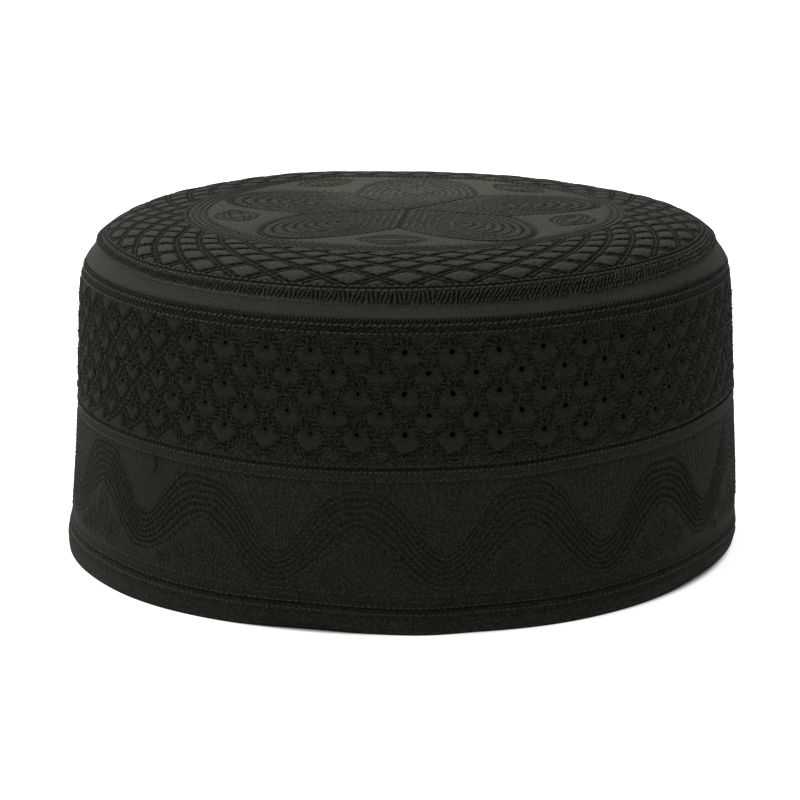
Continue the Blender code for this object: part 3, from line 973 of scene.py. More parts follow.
def build_crown(sizes, finish):
    """The top of the cap: medallion, lattice and the band of satin stitches, down to its edge."""
    cloth = Cloth()
    puff = sizes.puff / MM
    centre = cloth.ring(0.0, [0.0], crown_relief(np.zeros(1), np.zeros(1), puff)[0])
    previous = None

    def add(way, azimuth):
        nonlocal previous
        relief, cavity = crown_relief(way, azimuth, puff)
        ring = cloth.ring(way, azimuth, relief, cavity)
        if previous is None:
            cloth.cap(int(centre[0]), ring, True)
        else:
            cloth.bridge(previous, ring)
        previous = ring

    for start, end, columns, rings in CROWN_ZONES:
        azimuth = round_the_cap(columns)
        for share in np.arange(rings) / rings:
            add(np.full(columns, start + share * (end - start)), azimuth)
    border, edge = crown_border(azimuth), crown_edge(azimuth)
    for share in np.arange(LATTICE_RINGS) / LATTICE_RINGS:
        add(ZONES_END + share * (border - ZONES_END), azimuth)
    for share in np.arange(BAND_RINGS + 1) / BAND_RINGS:
        add(border + share * (edge - border), azimuth)
    inner_azimuth = round_the_cap(INNER_COLUMNS)
    inner_edge = crown_edge(inner_azimuth)
    for share in INNER_SHARES:
        ring = cloth.ring(inner_edge * share, inner_azimuth, -CLOTH)
        cloth.bridge(previous, ring)
        previous = ring
    underside = cloth.ring(0.0, [0.0], -CLOTH)
    cloth.cap(int(underside[0]), previous, False)
    return cloth.build("crown_cloth", finish, crown_pattern)


def build_band(name, ways, relief, pattern, columns, inner, thickness, finish):
    """An upright band of cloth; inner is how many outer columns and rings one inner one spans."""
    cloth = Cloth()
    azimuth = round_the_cap(columns)
    rings = []
    for way in ways:
        out, cavity = relief(height_at(way) + 0.0 * azimuth, azimuth)
        rings.append(cloth.ring(way, azimuth, out, cavity))
    for way in ways[::-inner]:
        rings.append(cloth.ring(way if np.ndim(way) == 0 else way[::inner], azimuth[::inner], -thickness))
    for upper, lower in zip(rings, rings[1:] + rings[:1]):
        cloth.bridge(upper, lower)
    return cloth.build(name, finish, pattern)


def part_for_eyelets(column, ring):
    """Push the grid's points aside so that the ring of points round each eyelet is a circle."""
    pitch = 2 * COLUMNS_PER_HALF
    row = np.clip(np.round(ring / RINGS_PER_ROW), 0, EYELET_ROWS - 1)
    first = (row % 2) * COLUMNS_PER_HALF
    across = (column - first + COLUMNS_PER_HALF) % pitch - COLUMNS_PER_HALF
    down = ring - row * RINGS_PER_ROW
    reach = np.maximum(np.abs(across), np.abs(down)).astype(float)
    side = across * math.radians(180.0 / EYELET_COLUMNS / COLUMNS_PER_HALF) * EYELET_LEVEL
    drop = down * EYELET_ROW_STEP / RINGS_PER_ROW
    distance = np.maximum(np.hypot(side, drop), 1e-9)
    pull = np.clip((HOLE_EASE - reach) / (HOLE_EASE - HOLE_RING), 0.0, 1.0)
    wanted = EYELET_RADIUS * np.maximum(reach, 1.0) / HOLE_RING
    scale = np.where(reach < HOLE_EASE, 1.0 + pull * (wanted / distance - 1.0), 1.0)
    scale = np.where(reach == 0, 1.0, scale)
    return side * (scale - 1.0), drop * (scale - 1.0)


def build_upper_wall(sizes, finish):
    """The pierced half of the wall, with every eyelet open through both faces."""
    cloth = Cloth()
    puff = sizes.puff / MM
    columns = 2 * EYELET_COLUMNS * COLUMNS_PER_HALF
    back = columns // 2
    azimuth = round_the_cap(columns)
    numbered = (np.arange(columns) - back) % columns
    ring_step = EYELET_ROW_STEP / RINGS_PER_ROW

    def add(ring, spacing, inset):
        chosen = slice(None, None, spacing)
        aside, drop = part_for_eyelets(numbered[chosen], np.full(columns // spacing, ring))
        height = EYELET_TOP_ROW - ring * ring_step - drop
        turned = azimuth[chosen] + np.degrees(aside / EYELET_LEVEL)
        if inset:
            return cloth.ring(way_at(height), turned, -inset)
        relief, cavity = upper_wall_relief(height, turned, puff)
        return cloth.ring(way_at(height), turned, relief, cavity)

    def skipped(ring, spacing):
        """The faces left out between this ring and the next, inside the eyelets."""
        left_out = set()
        for row in range(EYELET_ROWS):
            down = ring - row * RINGS_PER_ROW
            if -HOLE_RING <= down < HOLE_RING:
                for half in range(row % 2, 2 * EYELET_COLUMNS, 2):
                    centre = (half * COLUMNS_PER_HALF + back) % columns
                    for side in range(-HOLE_RING, HOLE_RING, spacing):
                        left_out.add(((centre + side) % columns) // spacing)
        return left_out

    outer_levels = list(range(-UPPER_RINGS_ABOVE, UPPER_RINGS_BELOW))
    inner_levels = outer_levels[::2]
    outer = {ring: add(ring, 1, 0.0) for ring in outer_levels}
    inner = {ring: add(ring, 2, CLOTH) for ring in inner_levels}
    for ring, following in zip(outer_levels, outer_levels[1:]):
        cloth.bridge(outer[ring], outer[following], skipped(ring, 1))
    for ring, following in zip(inner_levels, inner_levels[1:]):
        cloth.bridge(inner[following], inner[ring], skipped(ring, 2))
    cloth.bridge(inner[inner_levels[0]], outer[outer_levels[0]])
    cloth.bridge(outer[outer_levels[-1]], inner[inner_levels[-1]])
    for row in range(EYELET_ROWS):
        for half in range(row % 2, 2 * EYELET_COLUMNS, 2):
            line_eyelet(cloth, outer, inner, row * RINGS_PER_ROW, half * COLUMNS_PER_HALF + back, columns)
    return cloth.build("upper_wall_cloth", finish, upper_wall_pattern)


def line_eyelet(cloth, outer, inner, ring, column, columns):
    """The faces through the cloth at one eyelet, from its outer ring of points to its inner one."""
    loop = [(-HOLE_RING, side) for side in range(-HOLE_RING, HOLE_RING)]
    loop += [(down, HOLE_RING) for down in range(-HOLE_RING, HOLE_RING)]
    loop += [(HOLE_RING, side) for side in range(HOLE_RING, -HOLE_RING, -1)]
    loop += [(down, -HOLE_RING) for down in range(HOLE_RING, -HOLE_RING, -1)]
    loop.append(loop[0])
    for start in range(0, len(loop) - 1, 2):
        near = [outer[ring + down][(column + side) % columns] for down, side in loop[start:start + 3]]
        far = [inner[ring + down][((column + side) % columns) // 2]
               for down, side in loop[start:start + 3:2]]
        cloth.faces.append([int(number) for number in [*near, far[1], far[0]]])


# Finishes

def feed(tree, socket, value):
    """Link a socket to another one, or set its value."""
    if isinstance(value, bpy.types.NodeSocket):
        tree.links.new(value, socket)
    else:
        socket.default_value = value


def set_inputs(tree, node, inputs):
    """Link or set several of a node's inputs."""
    for socket, value in inputs.items():
        feed(tree, node.inputs[socket], value)


def add_node(tree, kind, inputs=None, **settings):
    """Add a node with its settings and inputs and give it back."""
    node = tree.nodes.new(kind)
    for name, value in settings.items():
        setattr(node, name, value)
    set_inputs(tree, node, inputs or {})
    return node


def new_finish(name):
    """A new material, its node tree and its shader."""
    finish = bpy.data.materials.new(name)
    finish.use_nodes = True
    return finish, finish.node_tree, finish.node_tree.nodes["Principled BSDF"]


def maths(tree, operation, first, second=0.0):
    node = add_node(tree, "ShaderNodeMath", {0: first, 1: second}, operation=operation)
    return node.outputs[0]


def plus(tree, first, second):
    return maths(tree, "ADD", first, second)


def minus(tree, first, second):
    return maths(tree, "SUBTRACT", first, second)


def times(tree, first, second):
    return maths(tree, "MULTIPLY", first, second)


def wave_along(tree, coordinate, pitch):
    """A sine along one coordinate of the cloth map, one wave to a thread."""
    return maths(tree, "SINE", times(tree, coordinate, 2.0 * math.pi / pitch))


def mix_colour(tree, share, first, second):
    return add_node(tree, "ShaderNodeMix", {0: share, 6: first, 7: second}, data_type="RGBA").outputs[2]


def opaque(colour, share=1.0):
    return (*(channel * share for channel in colour), 1.0)


def noise(tree, place, scale, detail=2.0):
    node = add_node(tree, "ShaderNodeTexNoise", {"Vector": place, "Scale": scale, "Detail": detail})
    return node.outputs[0]


def groove(tree, distance, half_width):
    """1 in the middle of a groove, easing to 0 at its edge."""
    node = add_node(tree, "ShaderNodeMapRange", {
        "Value": distance, "From Min": 0.0, "From Max": half_width, "To Min": 1.0, "To Max": 0.0},
        interpolation_type="SMOOTHSTEP")
    return node.outputs[0]


def sewn_groove(tree, spec, place):
    """How deep the cloth is drawn in by its sewn lines, from 0 to 1, and its nap."""
    ragged = minus(tree, noise(tree, place, 1.0 / (RAGGED_SIZE * MM), 1.0), 0.5)
    ragged = times(tree, ragged, spec.ragged)
    lines = add_node(tree, "ShaderNodeAttribute", attribute_name="lines").outputs["Vector"]
    sewn = add_node(tree, "ShaderNodeAttribute", attribute_name="sewn").outputs["Vector"]
    line = add_node(tree, "ShaderNodeSeparateXYZ", {0: lines}).outputs
    shows = add_node(tree, "ShaderNodeSeparateXYZ", {0: sewn}).outputs
    deepest = 0.0
    for own, other in ((0, 1), (1, 0)):
        away = times(tree, maths(tree, "PINGPONG", line[own], 0.5), spec.lattice_gap)
        beside = maths(tree, "ABSOLUTE", minus(tree, away, spec.twin))
        beside = plus(tree, beside, ragged)
        dash = maths(tree, "SINE", times(tree, line[other], 2.0 * math.pi * spec.dashes))
        depth = plus(tree, 0.8, times(tree, dash, 0.2))
        sunk = times(tree, groove(tree, beside, spec.line_half_width), depth)
        deepest = maths(tree, "MAXIMUM", sunk, deepest)
    lattice = times(tree, deepest, shows[0])
    away = times(tree, maths(tree, "PINGPONG", line[2], 0.5), spec.contour_gap)
    away = plus(tree, away, ragged)
    contour = times(tree, groove(tree, away, spec.contour_half_width), shows[1])
    gap = maths(tree, "SINE", times(tree, line[0], 2.0 * math.pi))
    gap = times(tree, plus(tree, gap, 1.0), 0.5 * spec.contour_dashes)
    contour = times(tree, contour, minus(tree, 1.0, gap))
    return maths(tree, "MAXIMUM", lattice, contour), shows[2]


def cloth_finish(name, colour, given):
    """Woven cloth: plain weave, stitched nap, uneven dye, and sewn lines that draw it in, with shade painted
    into those lines and the mesh's painted light and shade.
    """
    quilting = given.quilting
    finish, tree, shader = new_finish(name)
    cloth_map = add_node(tree, "ShaderNodeUVMap", uv_map="cloth").outputs[0]
    place = add_node(tree, "ShaderNodeTexCoord").outputs["Object"]
    parts = add_node(tree, "ShaderNodeSeparateXYZ", {0: cloth_map})
    weave = times(tree, wave_along(tree, parts.outputs[0], WEAVE_PITCH * 0.1),
                  wave_along(tree, parts.outputs[1], WEAVE_PITCH * 0.1))
    dye = noise(tree, place, DYE_SCALE, 4.0)
    fuzz = noise(tree, place, FUZZ_SCALE)
    flattened = add_node(tree, "ShaderNodeVectorMath", {0: place, 1: GRAIN_SQUASH}, operation="MULTIPLY")
    grain = noise(tree, flattened.outputs[0], 1.0 / (quilting.nap_size * MM), 1.0)
    stitched = add_node(tree, "ShaderNodeMapRange", {
        "Value": grain, "From Min": GRAIN_LOW, "From Max": GRAIN_HIGH, "To Min": -0.5, "To Max": 0.5},
        interpolation_type="SMOOTHSTEP").outputs[0]
    sunk, nap = sewn_groove(tree, quilting, place)
    cavity = add_node(tree, "ShaderNodeAttribute", attribute_name="cavity").outputs["Fac"]
    rough_ground = times(tree, stitched, nap)
    greener, redder = (np.multiply(colour, shares).tolist() for shares in (GREENER, REDDER))
    uneven = mix_colour(tree, dye, opaque(greener), opaque(redder))
    # Painted shade: the sewn grooves and the mesh's painted shading darken the colour, and lighten it where
    # that shading is below 0
    share_left_by_painted_shade = times(tree, minus(tree, 1.0, times(tree, sunk, GROOVE_SHADE)),
                       minus(tree, 1.0, times(tree, cavity, PAINTED_SHADING_STRENGTH)))
    light = times(tree, plus(tree, 1.0, times(tree, rough_ground, NAP_SHADE)), share_left_by_painted_shade)
    light = maths(tree, "MAXIMUM", light, DARKEST)
    shaded = add_node(tree, "ShaderNodeVectorMath", {0: uneven, "Scale": light}, operation="SCALE")
    surface = plus(tree, times(tree, weave, WEAVE_DEPTH), times(tree, fuzz, FUZZ_DEPTH))
    surface = plus(tree, surface, times(tree, rough_ground, quilting.nap_depth))
    surface = minus(tree, surface, times(tree, sunk, quilting.depth))
    bump = add_node(tree, "ShaderNodeBump", {"Height": surface, "Strength": 1.0, "Distance": MM})
    set_inputs(tree, shader, {
        "Base Color": shaded.outputs[0],
        "Normal": bump.outputs[0],
        "Roughness": plus(tree, times(tree, dye, 0.12), given.roughness - 0.06),
        "Specular IOR Level": given.specular,
        "Sheen Weight": given.sheen,
        "Sheen Roughness": 0.45,
        "Sheen Tint": opaque((0.9, 0.9, 0.82)),
    })
    return finish


def thread_finish(name, colour, given):
    """Dyed thread with a soft gloss: each stitch has its own tone, and fine fibres run in it."""
    finish, tree, shader = new_finish(name)
    place = add_node(tree, "ShaderNodeTexCoord").outputs["Object"]
    tone = add_node(tree, "ShaderNodeAttribute", attribute_name="tone").outputs["Fac"]
    fibre = noise(tree, place, FIBRE_SCALE)
    base = mix_colour(tree, tone, opaque(colour, 0.6), opaque(colour, 1.4))
    worn = mix_colour(tree, times(tree, fibre, 0.5), base, opaque(colour, 1.6))
    bump = add_node(tree, "ShaderNodeBump", {"Height": fibre, "Strength": 0.5, "Distance": 0.12 * MM})
    set_inputs(tree, shader, {
        "Base Color": worn,
        "Normal": bump.outputs[0],
        "Roughness": plus(tree, times(tree, tone, 0.14), given.roughness),
        "Specular IOR Level": given.specular,
        "Sheen Weight": given.sheen,
        "Sheen Roughness": 0.4,
    })
    return finish


def finish_named(name, colours):
    """The finish of that name, made when it is first asked for."""
    made = bpy.data.materials.get(name)
    if made is None:
        given = FINISHES[name]
        make = cloth_finish if given.quilting else thread_finish
        made = make(name, getattr(colours, given.colour), given)
    return made


# Embroidery: guide lines on the cloth, and stitches laid along them by geometry nodes

SEWING_INPUTS = (
    ("Pitch", "NodeSocketFloat"),
    ("Stitch Length", "NodeSocketFloat"),
    ("Stitch Width", "NodeSocketFloat"),
    ("Stitch Height", "NodeSocketFloat"),
    ("Slant", "NodeSocketFloat"),
    ("Unevenness", "NodeSocketFloat"),
    ("Seed", "NodeSocketInt"),
    ("Thread", "NodeSocketMaterial"),
)
RIM_INPUTS = (("Thickness", "NodeSocketFloat"), ("Thread", "NodeSocketMaterial"))


def new_tree(name, inputs):
    """An empty geometry node tree with a mesh in, those inputs, and a mesh out."""
    tree = bpy.data.node_groups.new(name, "GeometryNodeTree")
    tree.interface.new_socket("Geometry", in_out="INPUT", socket_type="NodeSocketGeometry")
    for label, kind in inputs:
        tree.interface.new_socket(label, in_out="INPUT", socket_type=kind)
    tree.interface.new_socket("Geometry", in_out="OUTPUT", socket_type="NodeSocketGeometry")
    return tree, tree.nodes.new("NodeGroupInput").outputs


def end_tree(tree, geometry, material):
    """Realize what was made, smooth it and give it its finish."""
    real = add_node(tree, "GeometryNodeRealizeInstances", {0: geometry}).outputs[0]
    smooth = add_node(tree, "GeometryNodeSetShadeSmooth", {0: real}).outputs[0]
    dressed = add_node(tree, "GeometryNodeSetMaterial", {
        "Geometry": smooth, "Material": material}).outputs[0]
    add_node(tree, "NodeGroupOutput", {0: dressed})


def random_between(tree, low, high, seed):
    inputs = {"Seed": seed, 2: low, 3: high}
    return add_node(tree, "FunctionNodeRandomValue", inputs, data_type="FLOAT").outputs[1]


def named_vector(tree, name):
    node = add_node(tree, "GeometryNodeInputNamedAttribute", {"Name": name}, data_type="FLOAT_VECTOR")
    return node.outputs[0]


def lay_stitches(tree, given, points, along_line, length):
    """Put one spindle of thread on each point, turned along its line and lying on the cloth."""
    up = named_vector(tree, "up")
    wobble = random_between(tree, -1.0, 1.0, given["Seed"])
    stretch = random_between(tree, -1.0, 1.0, plus(tree, given["Seed"], 1.0))
    angle = plus(tree, given["Slant"], times(tree, wobble, given["Unevenness"]))
    turned = add_node(tree, "ShaderNodeVectorRotate", {"Vector": along_line, "Axis": up, "Angle": angle},
                      rotation_type="AXIS_ANGLE").outputs[0]
    rotation = add_node(tree, "FunctionNodeAxesToRotation",
                        {"Primary Axis": turned, "Secondary Axis": up},
                        primary_axis="Z", secondary_axis="X").outputs[0]
    change = plus(tree, 1.0, times(tree, stretch, given["Unevenness"]))
    size = add_node(tree, "ShaderNodeCombineXYZ", {
        0: given["Stitch Height"], 1: given["Stitch Width"], 2: times(tree, length, change)})
    spindle = add_node(tree, "GeometryNodeMeshUVSphere",
                       {"Segments": STITCH_SIDES, "Rings": STITCH_RINGS, "Radius": 0.5}).outputs[0]
    laid = add_node(tree, "GeometryNodeInstanceOnPoints", {
        "Points": points, "Instance": spindle, "Rotation": rotation, "Scale": size.outputs[0]}).outputs[0]
    tone = random_between(tree, 0.0, 1.0, plus(tree, given["Seed"], 2.0))
    toned = add_node(tree, "GeometryNodeStoreNamedAttribute", {
        "Geometry": laid, "Name": "tone", "Value": tone}, data_type="FLOAT", domain="INSTANCE").outputs[0]
    end_tree(tree, toned, given["Thread"])


def row_tree():
    """Stitches in rows: the guide is lines, and a stitch lies at each pitch along them."""
    tree = bpy.data.node_groups.get("stitch_rows")
    if tree is None:
        tree, given = new_tree("stitch_rows", SEWING_INPUTS)
        line = add_node(tree, "GeometryNodeMeshToCurve", {0: given["Geometry"]}).outputs[0]
        points = add_node(tree, "GeometryNodeResampleCurve", {"Curve": line, "Length": given["Pitch"]},
                          mode="LENGTH").outputs[0]
        tangent = tree.nodes.new("GeometryNodeInputTangent").outputs[0]
        lay_stitches(tree, given, points, tangent, given["Stitch Length"])
    return tree


def stroke_tree():
    """Single stitches: the guide is points, each with the stroke's own direction and length."""
    tree = bpy.data.node_groups.get("single_stitches")
    if tree is None:
        tree, given = new_tree("single_stitches", SEWING_INPUTS)
        stroke = named_vector(tree, "stroke")
        reach = add_node(tree, "ShaderNodeVectorMath", {0: stroke}, operation="LENGTH").outputs["Value"]
        lay_stitches(tree, given, given["Geometry"], stroke, reach)
    return tree


def rim_tree():
    """Bound eyelet edges: a round thread along each closed guide line."""
    tree = bpy.data.node_groups.get("eyelet_rims")
    if tree is None:
        tree, given = new_tree("eyelet_rims", RIM_INPUTS)
        line = add_node(tree, "GeometryNodeMeshToCurve", {0: given["Geometry"]}).outputs[0]
        radius = times(tree, given["Thickness"], 0.5)
        profile = add_node(tree, "GeometryNodeCurvePrimitiveCircle", {
            "Resolution": 4, "Radius": radius}).outputs[0]
        tube = add_node(tree, "GeometryNodeCurveToMesh", {
            "Curve": line, "Profile Curve": profile}).outputs[0]
        end_tree(tree, tube, given["Thread"])
    return tree


class Guide:
    """Lines and points on the cloth that stitches follow."""

    def __init__(self, relief):
        self.relief = relief
        self.points = []
        self.ups = []
        self.strokes = []
        self.edges = []
        self.count = 0

    def put(self, way, azimuth, lift):
        """Points at a lift above the quilted cloth, and the way up from it."""
        way, azimuth = np.broadcast_arrays(np.asarray(way, float), np.asarray(azimuth, float))
        out = self.relief(way, azimuth) + lift
        points = skin(way, azimuth, out)
        ups = skin(way, azimuth, out + 1.0) - points
        ups = ups / np.linalg.norm(ups, axis=-1, keepdims=True)
        return points, ups

    def line(self, way, azimuth, lift, closed=False):
        """A line through the places; a closed one ends where it starts."""
        points, ups = self.put(way, azimuth, lift)
        if len(points) < 2:
            return
        first = self.count
        self.points.append(points)
        self.ups.append(ups)
        self.count += len(points)
        self.edges += [(index, index + 1) for index in range(first, self.count - 1)]
        if closed:
            self.edges.append((self.count - 1, first))

    def stroke(self, way, azimuth, end_way, end_azimuth, lift):
        """Single straight stitches from each first place to each second one."""
        starts, ups = self.put(way, azimuth, lift)
        ends, _ = self.put(end_way, end_azimuth, lift)
        self.points.append(0.5 * (starts + ends))
        self.ups.append(ups)
        self.strokes.append(ends - starts)
        self.count += len(starts)

    def sew(self, name, tree, values):
        """Run the tree over the guide and give back the stitches as a plain mesh."""
        data = bpy.data.meshes.new(name + "_guide")
        data.from_pydata(np.concatenate(self.points).tolist(), self.edges, [])
        self.attach(data, "up", self.ups)
        if self.strokes:
            self.attach(data, "stroke", self.strokes)
        guide = linked(name + "_guide", data)
        sewing = guide.modifiers.new("sewing", "NODES")
        sewing.node_group = tree
        for item in tree.interface.items_tree:
            if item.in_out == "INPUT" and item.name in values:
                sewing[item.identifier] = values[item.name]
        graph = bpy.context.evaluated_depsgraph_get()
        mesh = bpy.data.meshes.new_from_object(guide.evaluated_get(graph), depsgraph=graph)
        bpy.data.objects.remove(guide)
        bpy.data.meshes.remove(data)
        return mesh

    @staticmethod
    def attach(data, name, vectors):
        attribute = data.attributes.new(name, "FLOAT_VECTOR", "POINT")
        attribute.data.foreach_set("vector", np.concatenate(vectors).astype(np.float32).ravel())


def stitch_values(sizes, thread, stitch):
    """Inputs for a sewing tree, from shares of the cap's own stitch sizes."""
    return {
        "Pitch": sizes.stitch_pitch * stitch.pitch,
        "Stitch Length": sizes.stitch_length * stitch.length,
        "Stitch Width": sizes.stitch_width * stitch.width,
        "Stitch Height": sizes.stitch_height * stitch.height,
        "Slant": math.radians(stitch.slant),
        "Unevenness": stitch.uneven,
        "Seed": stitch.seed,
        "Thread": thread,
    }


def join_meshes(name, meshes):
    """One object from several plain meshes."""
    objects = [linked(name, mesh) for mesh in meshes]
    joined = objects[0]
    if len(objects) > 1:
        with bpy.context.temp_override(active_object=joined, selected_editable_objects=objects):
            bpy.ops.object.join()
    joined.name = name
    joined.data.name = name
    return joined


def dress(piece, slot, *nodes):
    """Let a piece ride on the cap, in place of the solids that it stands for."""
    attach(piece, "root")
    if nodes:
        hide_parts(*nodes)


def by_way(relief, puff):
    """A relief read by way, from one that is read by height."""
    return lambda way, azimuth: relief(height_at(way), azimuth, puff)[0]


def on_crown(sizes):
    """The crown's relief, read by way."""
    return lambda way, azimuth: crown_relief(way, azimuth, sizes.puff / MM)[0]


def full_turn(count):
    return -180.0 + np.arange(count) * 360.0 / count


def medallion_to_cap(x, y):
    """Way and azimuth of a point of the medallion, from its own centre."""
    x = x + MEDALLION_SHIFT
    return np.hypot(x, y), np.degrees(np.arctan2(x, -y))


def petal_outline(inset):
    """A petal's closed outline, drawn in by the inset, with its axis along +u."""
    turn = np.linspace(0.0, 2.0 * np.pi, PETAL_SAMPLES, endpoint=False)
    half = math.pi / PETALS
    to_side = PETAL_CENTRE * math.sin(half) - inset
    reaches = []
    for sign in (1.0, -1.0):
        facing = np.cos(turn - sign * (half + 0.5 * np.pi))
        reaches.append(np.where(facing > 1e-3, to_side / np.maximum(facing, 1e-3), 1e3))
    long, wide = PETAL_REACH - inset, PETAL_HALF_WIDTH - inset
    oval = 1.0 / np.hypot(np.cos(turn) / long, np.sin(turn) / wide)
    strip = np.where(np.abs(np.sin(turn)) > 1e-3, wide / np.maximum(np.abs(np.sin(turn)), 1e-3), 1e3)
    reaches.append(np.where(np.cos(turn) > 0.0, oval, strip))
    reach = np.minimum.reduce(reaches)
    return PETAL_CENTRE + reach * np.cos(turn), reach * np.sin(turn)


def turned(u, v, azimuth):
    """Turn petal coordinates so that their axis points to an azimuth."""
    angle = math.radians(azimuth)
    return u * math.sin(angle) + v * math.cos(angle), -u * math.cos(angle) + v * math.sin(angle)


def sew_crown(sizes, thread, lattice_thread):
    """Lattice, rings, petals and eyes on the crown."""
    relief = on_crown(sizes)
    lattice = Guide(relief)
    rows = (LATTICE_OUTER - LATTICE_INNER) / CROWN_ROW
    steps = np.linspace(0.0, rows, 50)
    half_cell = 180.0 / CROWN_CELLS
    for cell in range(CROWN_CELLS):
        for lean in (-1.0, 1.0):
            azimuth = 2.0 * half_cell * cell + lean * half_cell * steps
            way = crown_border(azimuth) - CROWN_ROW * steps
            kept = (way > LATTICE_INNER - 0.2) & (way < crown_border(azimuth) - 0.9)
            lattice.line(way[kept], azimuth[kept], 0.05)
    yield lattice.sew("lattice", row_tree(), stitch_values(sizes, lattice_thread, STITCHES["crown_lattice"]))

    rings = Guide(relief)
    azimuth = full_turn(ROUND_SAMPLES)
    angle = np.radians(azimuth)
    for radius in MEDALLION_RINGS:
        way, turn = medallion_to_cap(radius * np.sin(angle), -radius * np.cos(angle))
        rings.line(way, turn, 0.15, True)
    for offset in (-0.65, 0.65):
        rings.line(crown_border(azimuth) + offset, azimuth, 0.2, True)
    yield rings.sew("rings", row_tree(), stitch_values(sizes, thread, STITCHES["rings"]))

    petals = Guide(relief)
    for petal in range(PETALS):
        axis = PETAL_AXIS + 360.0 / PETALS * petal
        for row in range(PETAL_ROWS):
            u, v = petal_outline(PETAL_FIRST_ROW + row * PETAL_ROW_STEP)
            petals.line(*medallion_to_cap(*turned(u, v, axis)), 0.0, True)
        eye_axis = axis + 180.0 / PETALS
        reach = np.linspace(-1.0, 1.0, 24)
        for share in EYE_SHARES:
            across = share * EYE_HALF_LENGTH * np.concatenate([reach, reach[-2:0:-1]])
            depth = share * EYE_HALF_WIDTH * (1.0 - np.concatenate([reach, reach[-2:0:-1]]) ** 2)
            depth = depth * np.concatenate([np.ones(24), -np.ones(22)])
            petals.line(*medallion_to_cap(*turned(EYE_RADIUS + depth, across, eye_axis)), 0.05, True)
    yield petals.sew("petals", row_tree(), stitch_values(sizes, thread, STITCHES["petals"]))


def sew_band(sizes, thread):
    """The band between the crown's border and its edge: slanted satin stitches in scrolls."""
    band = Guide(on_crown(sizes))
    azimuth = full_turn(BAND_STROKES) + 180.0 / BAND_STROKES
    border, edge = crown_border(azimuth) + 1.2, crown_edge(azimuth) - 1.0
    for piece in range(BAND_PIECES):
        first = border + (edge - border) * piece / BAND_PIECES
        last = border + (edge - border) * (piece + 1.05) / BAND_PIECES
        starts, ends = (azimuth - band_lean(way, azimuth) for way in (first, last))
        band.stroke(first, starts, last, ends, 0.1)
    yield band.sew("band", stroke_tree(), stitch_values(sizes, thread, STITCHES["band"]))


def sew_ropes(name, sizes, thread):
    """Rows of slanted stitches over one of the seams."""
    azimuth = full_turn(ROUND_SAMPLES)
    for rope in ROPES[name]:
        relief = hem_relief
        if rope.height > WALL_FOOT:
            relief = upper_wall_relief if rope.height > WALL_SPLIT else lower_wall_relief
        row = Guide(by_way(relief, sizes.puff / MM))
        row.line(way_at(rope.height) + 0.0 * azimuth, azimuth, rope.lift, True)
        yield row.sew(name, row_tree(), stitch_values(sizes, thread, rope.stitch))


def sew_over(sizes, thread):
    """Longer stitches over the seam's upper rope, at the front right."""
    over = Guide(lambda way, azimuth: 0.0 * azimuth)
    azimuth = np.arange(OVER_START, OVER_END, OVER_GAP)
    height = ROPES["seam"][0].height
    rise = OVER_RISE * bell(azimuth, OVER_MIDDLE, OVER_REACH)
    over.stroke(way_at(height) + 0.0 * azimuth, azimuth, way_at(height + rise), azimuth + 0.7, 0.15)
    yield over.sew("over", stroke_tree(), stitch_values(sizes, thread, STITCHES["over"]))


def sew_upper_wall(sizes, thread):
    """Double lattice lines, rays over each eyelet and the eyelets' bound edges."""
    relief = by_way(upper_wall_relief, sizes.puff / MM)
    lattice = Guide(relief)
    rows = (LATTICE_TOP - LATTICE_FOOT) / EYELET_ROW_STEP
    steps = np.linspace(0.0, rows, 60)
    half_cell = 180.0 / EYELET_COLUMNS
    for cell in range(EYELET_COLUMNS):
        for lean in (-1.0, 1.0):
            for side in (-TWIN_GAP, TWIN_GAP):
                azimuth = EYELET_SHIFT + 2.0 * half_cell * cell + lean * half_cell * steps
                azimuth = azimuth + np.degrees(side / TWIN_SLOPE / EYELET_LEVEL)
                lattice.line(way_at(LATTICE_TOP - EYELET_ROW_STEP * steps), azimuth, 0.05)
    yield lattice.sew("lattice", row_tree(), stitch_values(sizes, thread, STITCHES["wall_lattice"]))

    rims, rays = Guide(relief), Guide(relief)
    circle = np.linspace(0.0, 2.0 * np.pi, 10, endpoint=False)
    for row in range(EYELET_ROWS):
        height = EYELET_TOP_ROW - row * EYELET_ROW_STEP
        centres = EYELET_SHIFT + 2.0 * half_cell * (np.arange(EYELET_COLUMNS) + 0.5 * (row % 2))
        for centre in centres:
            reach = EYELET_RADIUS + 0.06 - 0.25 * float(step(abs(centre), 32.0, 60.0))
            rims.line(way_at(height + reach * np.cos(circle)),
                      centre + np.degrees(reach * np.sin(circle) / EYELET_LEVEL), 0.05, True)
        for angle in RAY_ANGLES:
            upward = math.cos(math.radians(angle))
            across = math.degrees(math.sin(math.radians(angle)) / EYELET_LEVEL)
            ends = [(way_at(height + reach * upward) + 0.0 * centres, centres + reach * across)
                    for reach in (RAY_START, RAY_END)]
            rays.stroke(*ends[0], *ends[1], 0.12)
    yield rims.sew("rims", rim_tree(), {"Thickness": sizes.stitch_width * 0.6, "Thread": thread})
    yield rays.sew("rays", stroke_tree(), stitch_values(sizes, thread, STITCHES["rays"]))


def crest_azimuths():
    """Azimuths at which the waves crest, found on a fine round of samples."""
    azimuth = full_turn(CREST_SAMPLES)
    turns = np.floor(wave_phase(azimuth) / (2.0 * np.pi))
    return azimuth[np.flatnonzero(np.diff(turns, append=turns[0] + WAVES) > 0)]


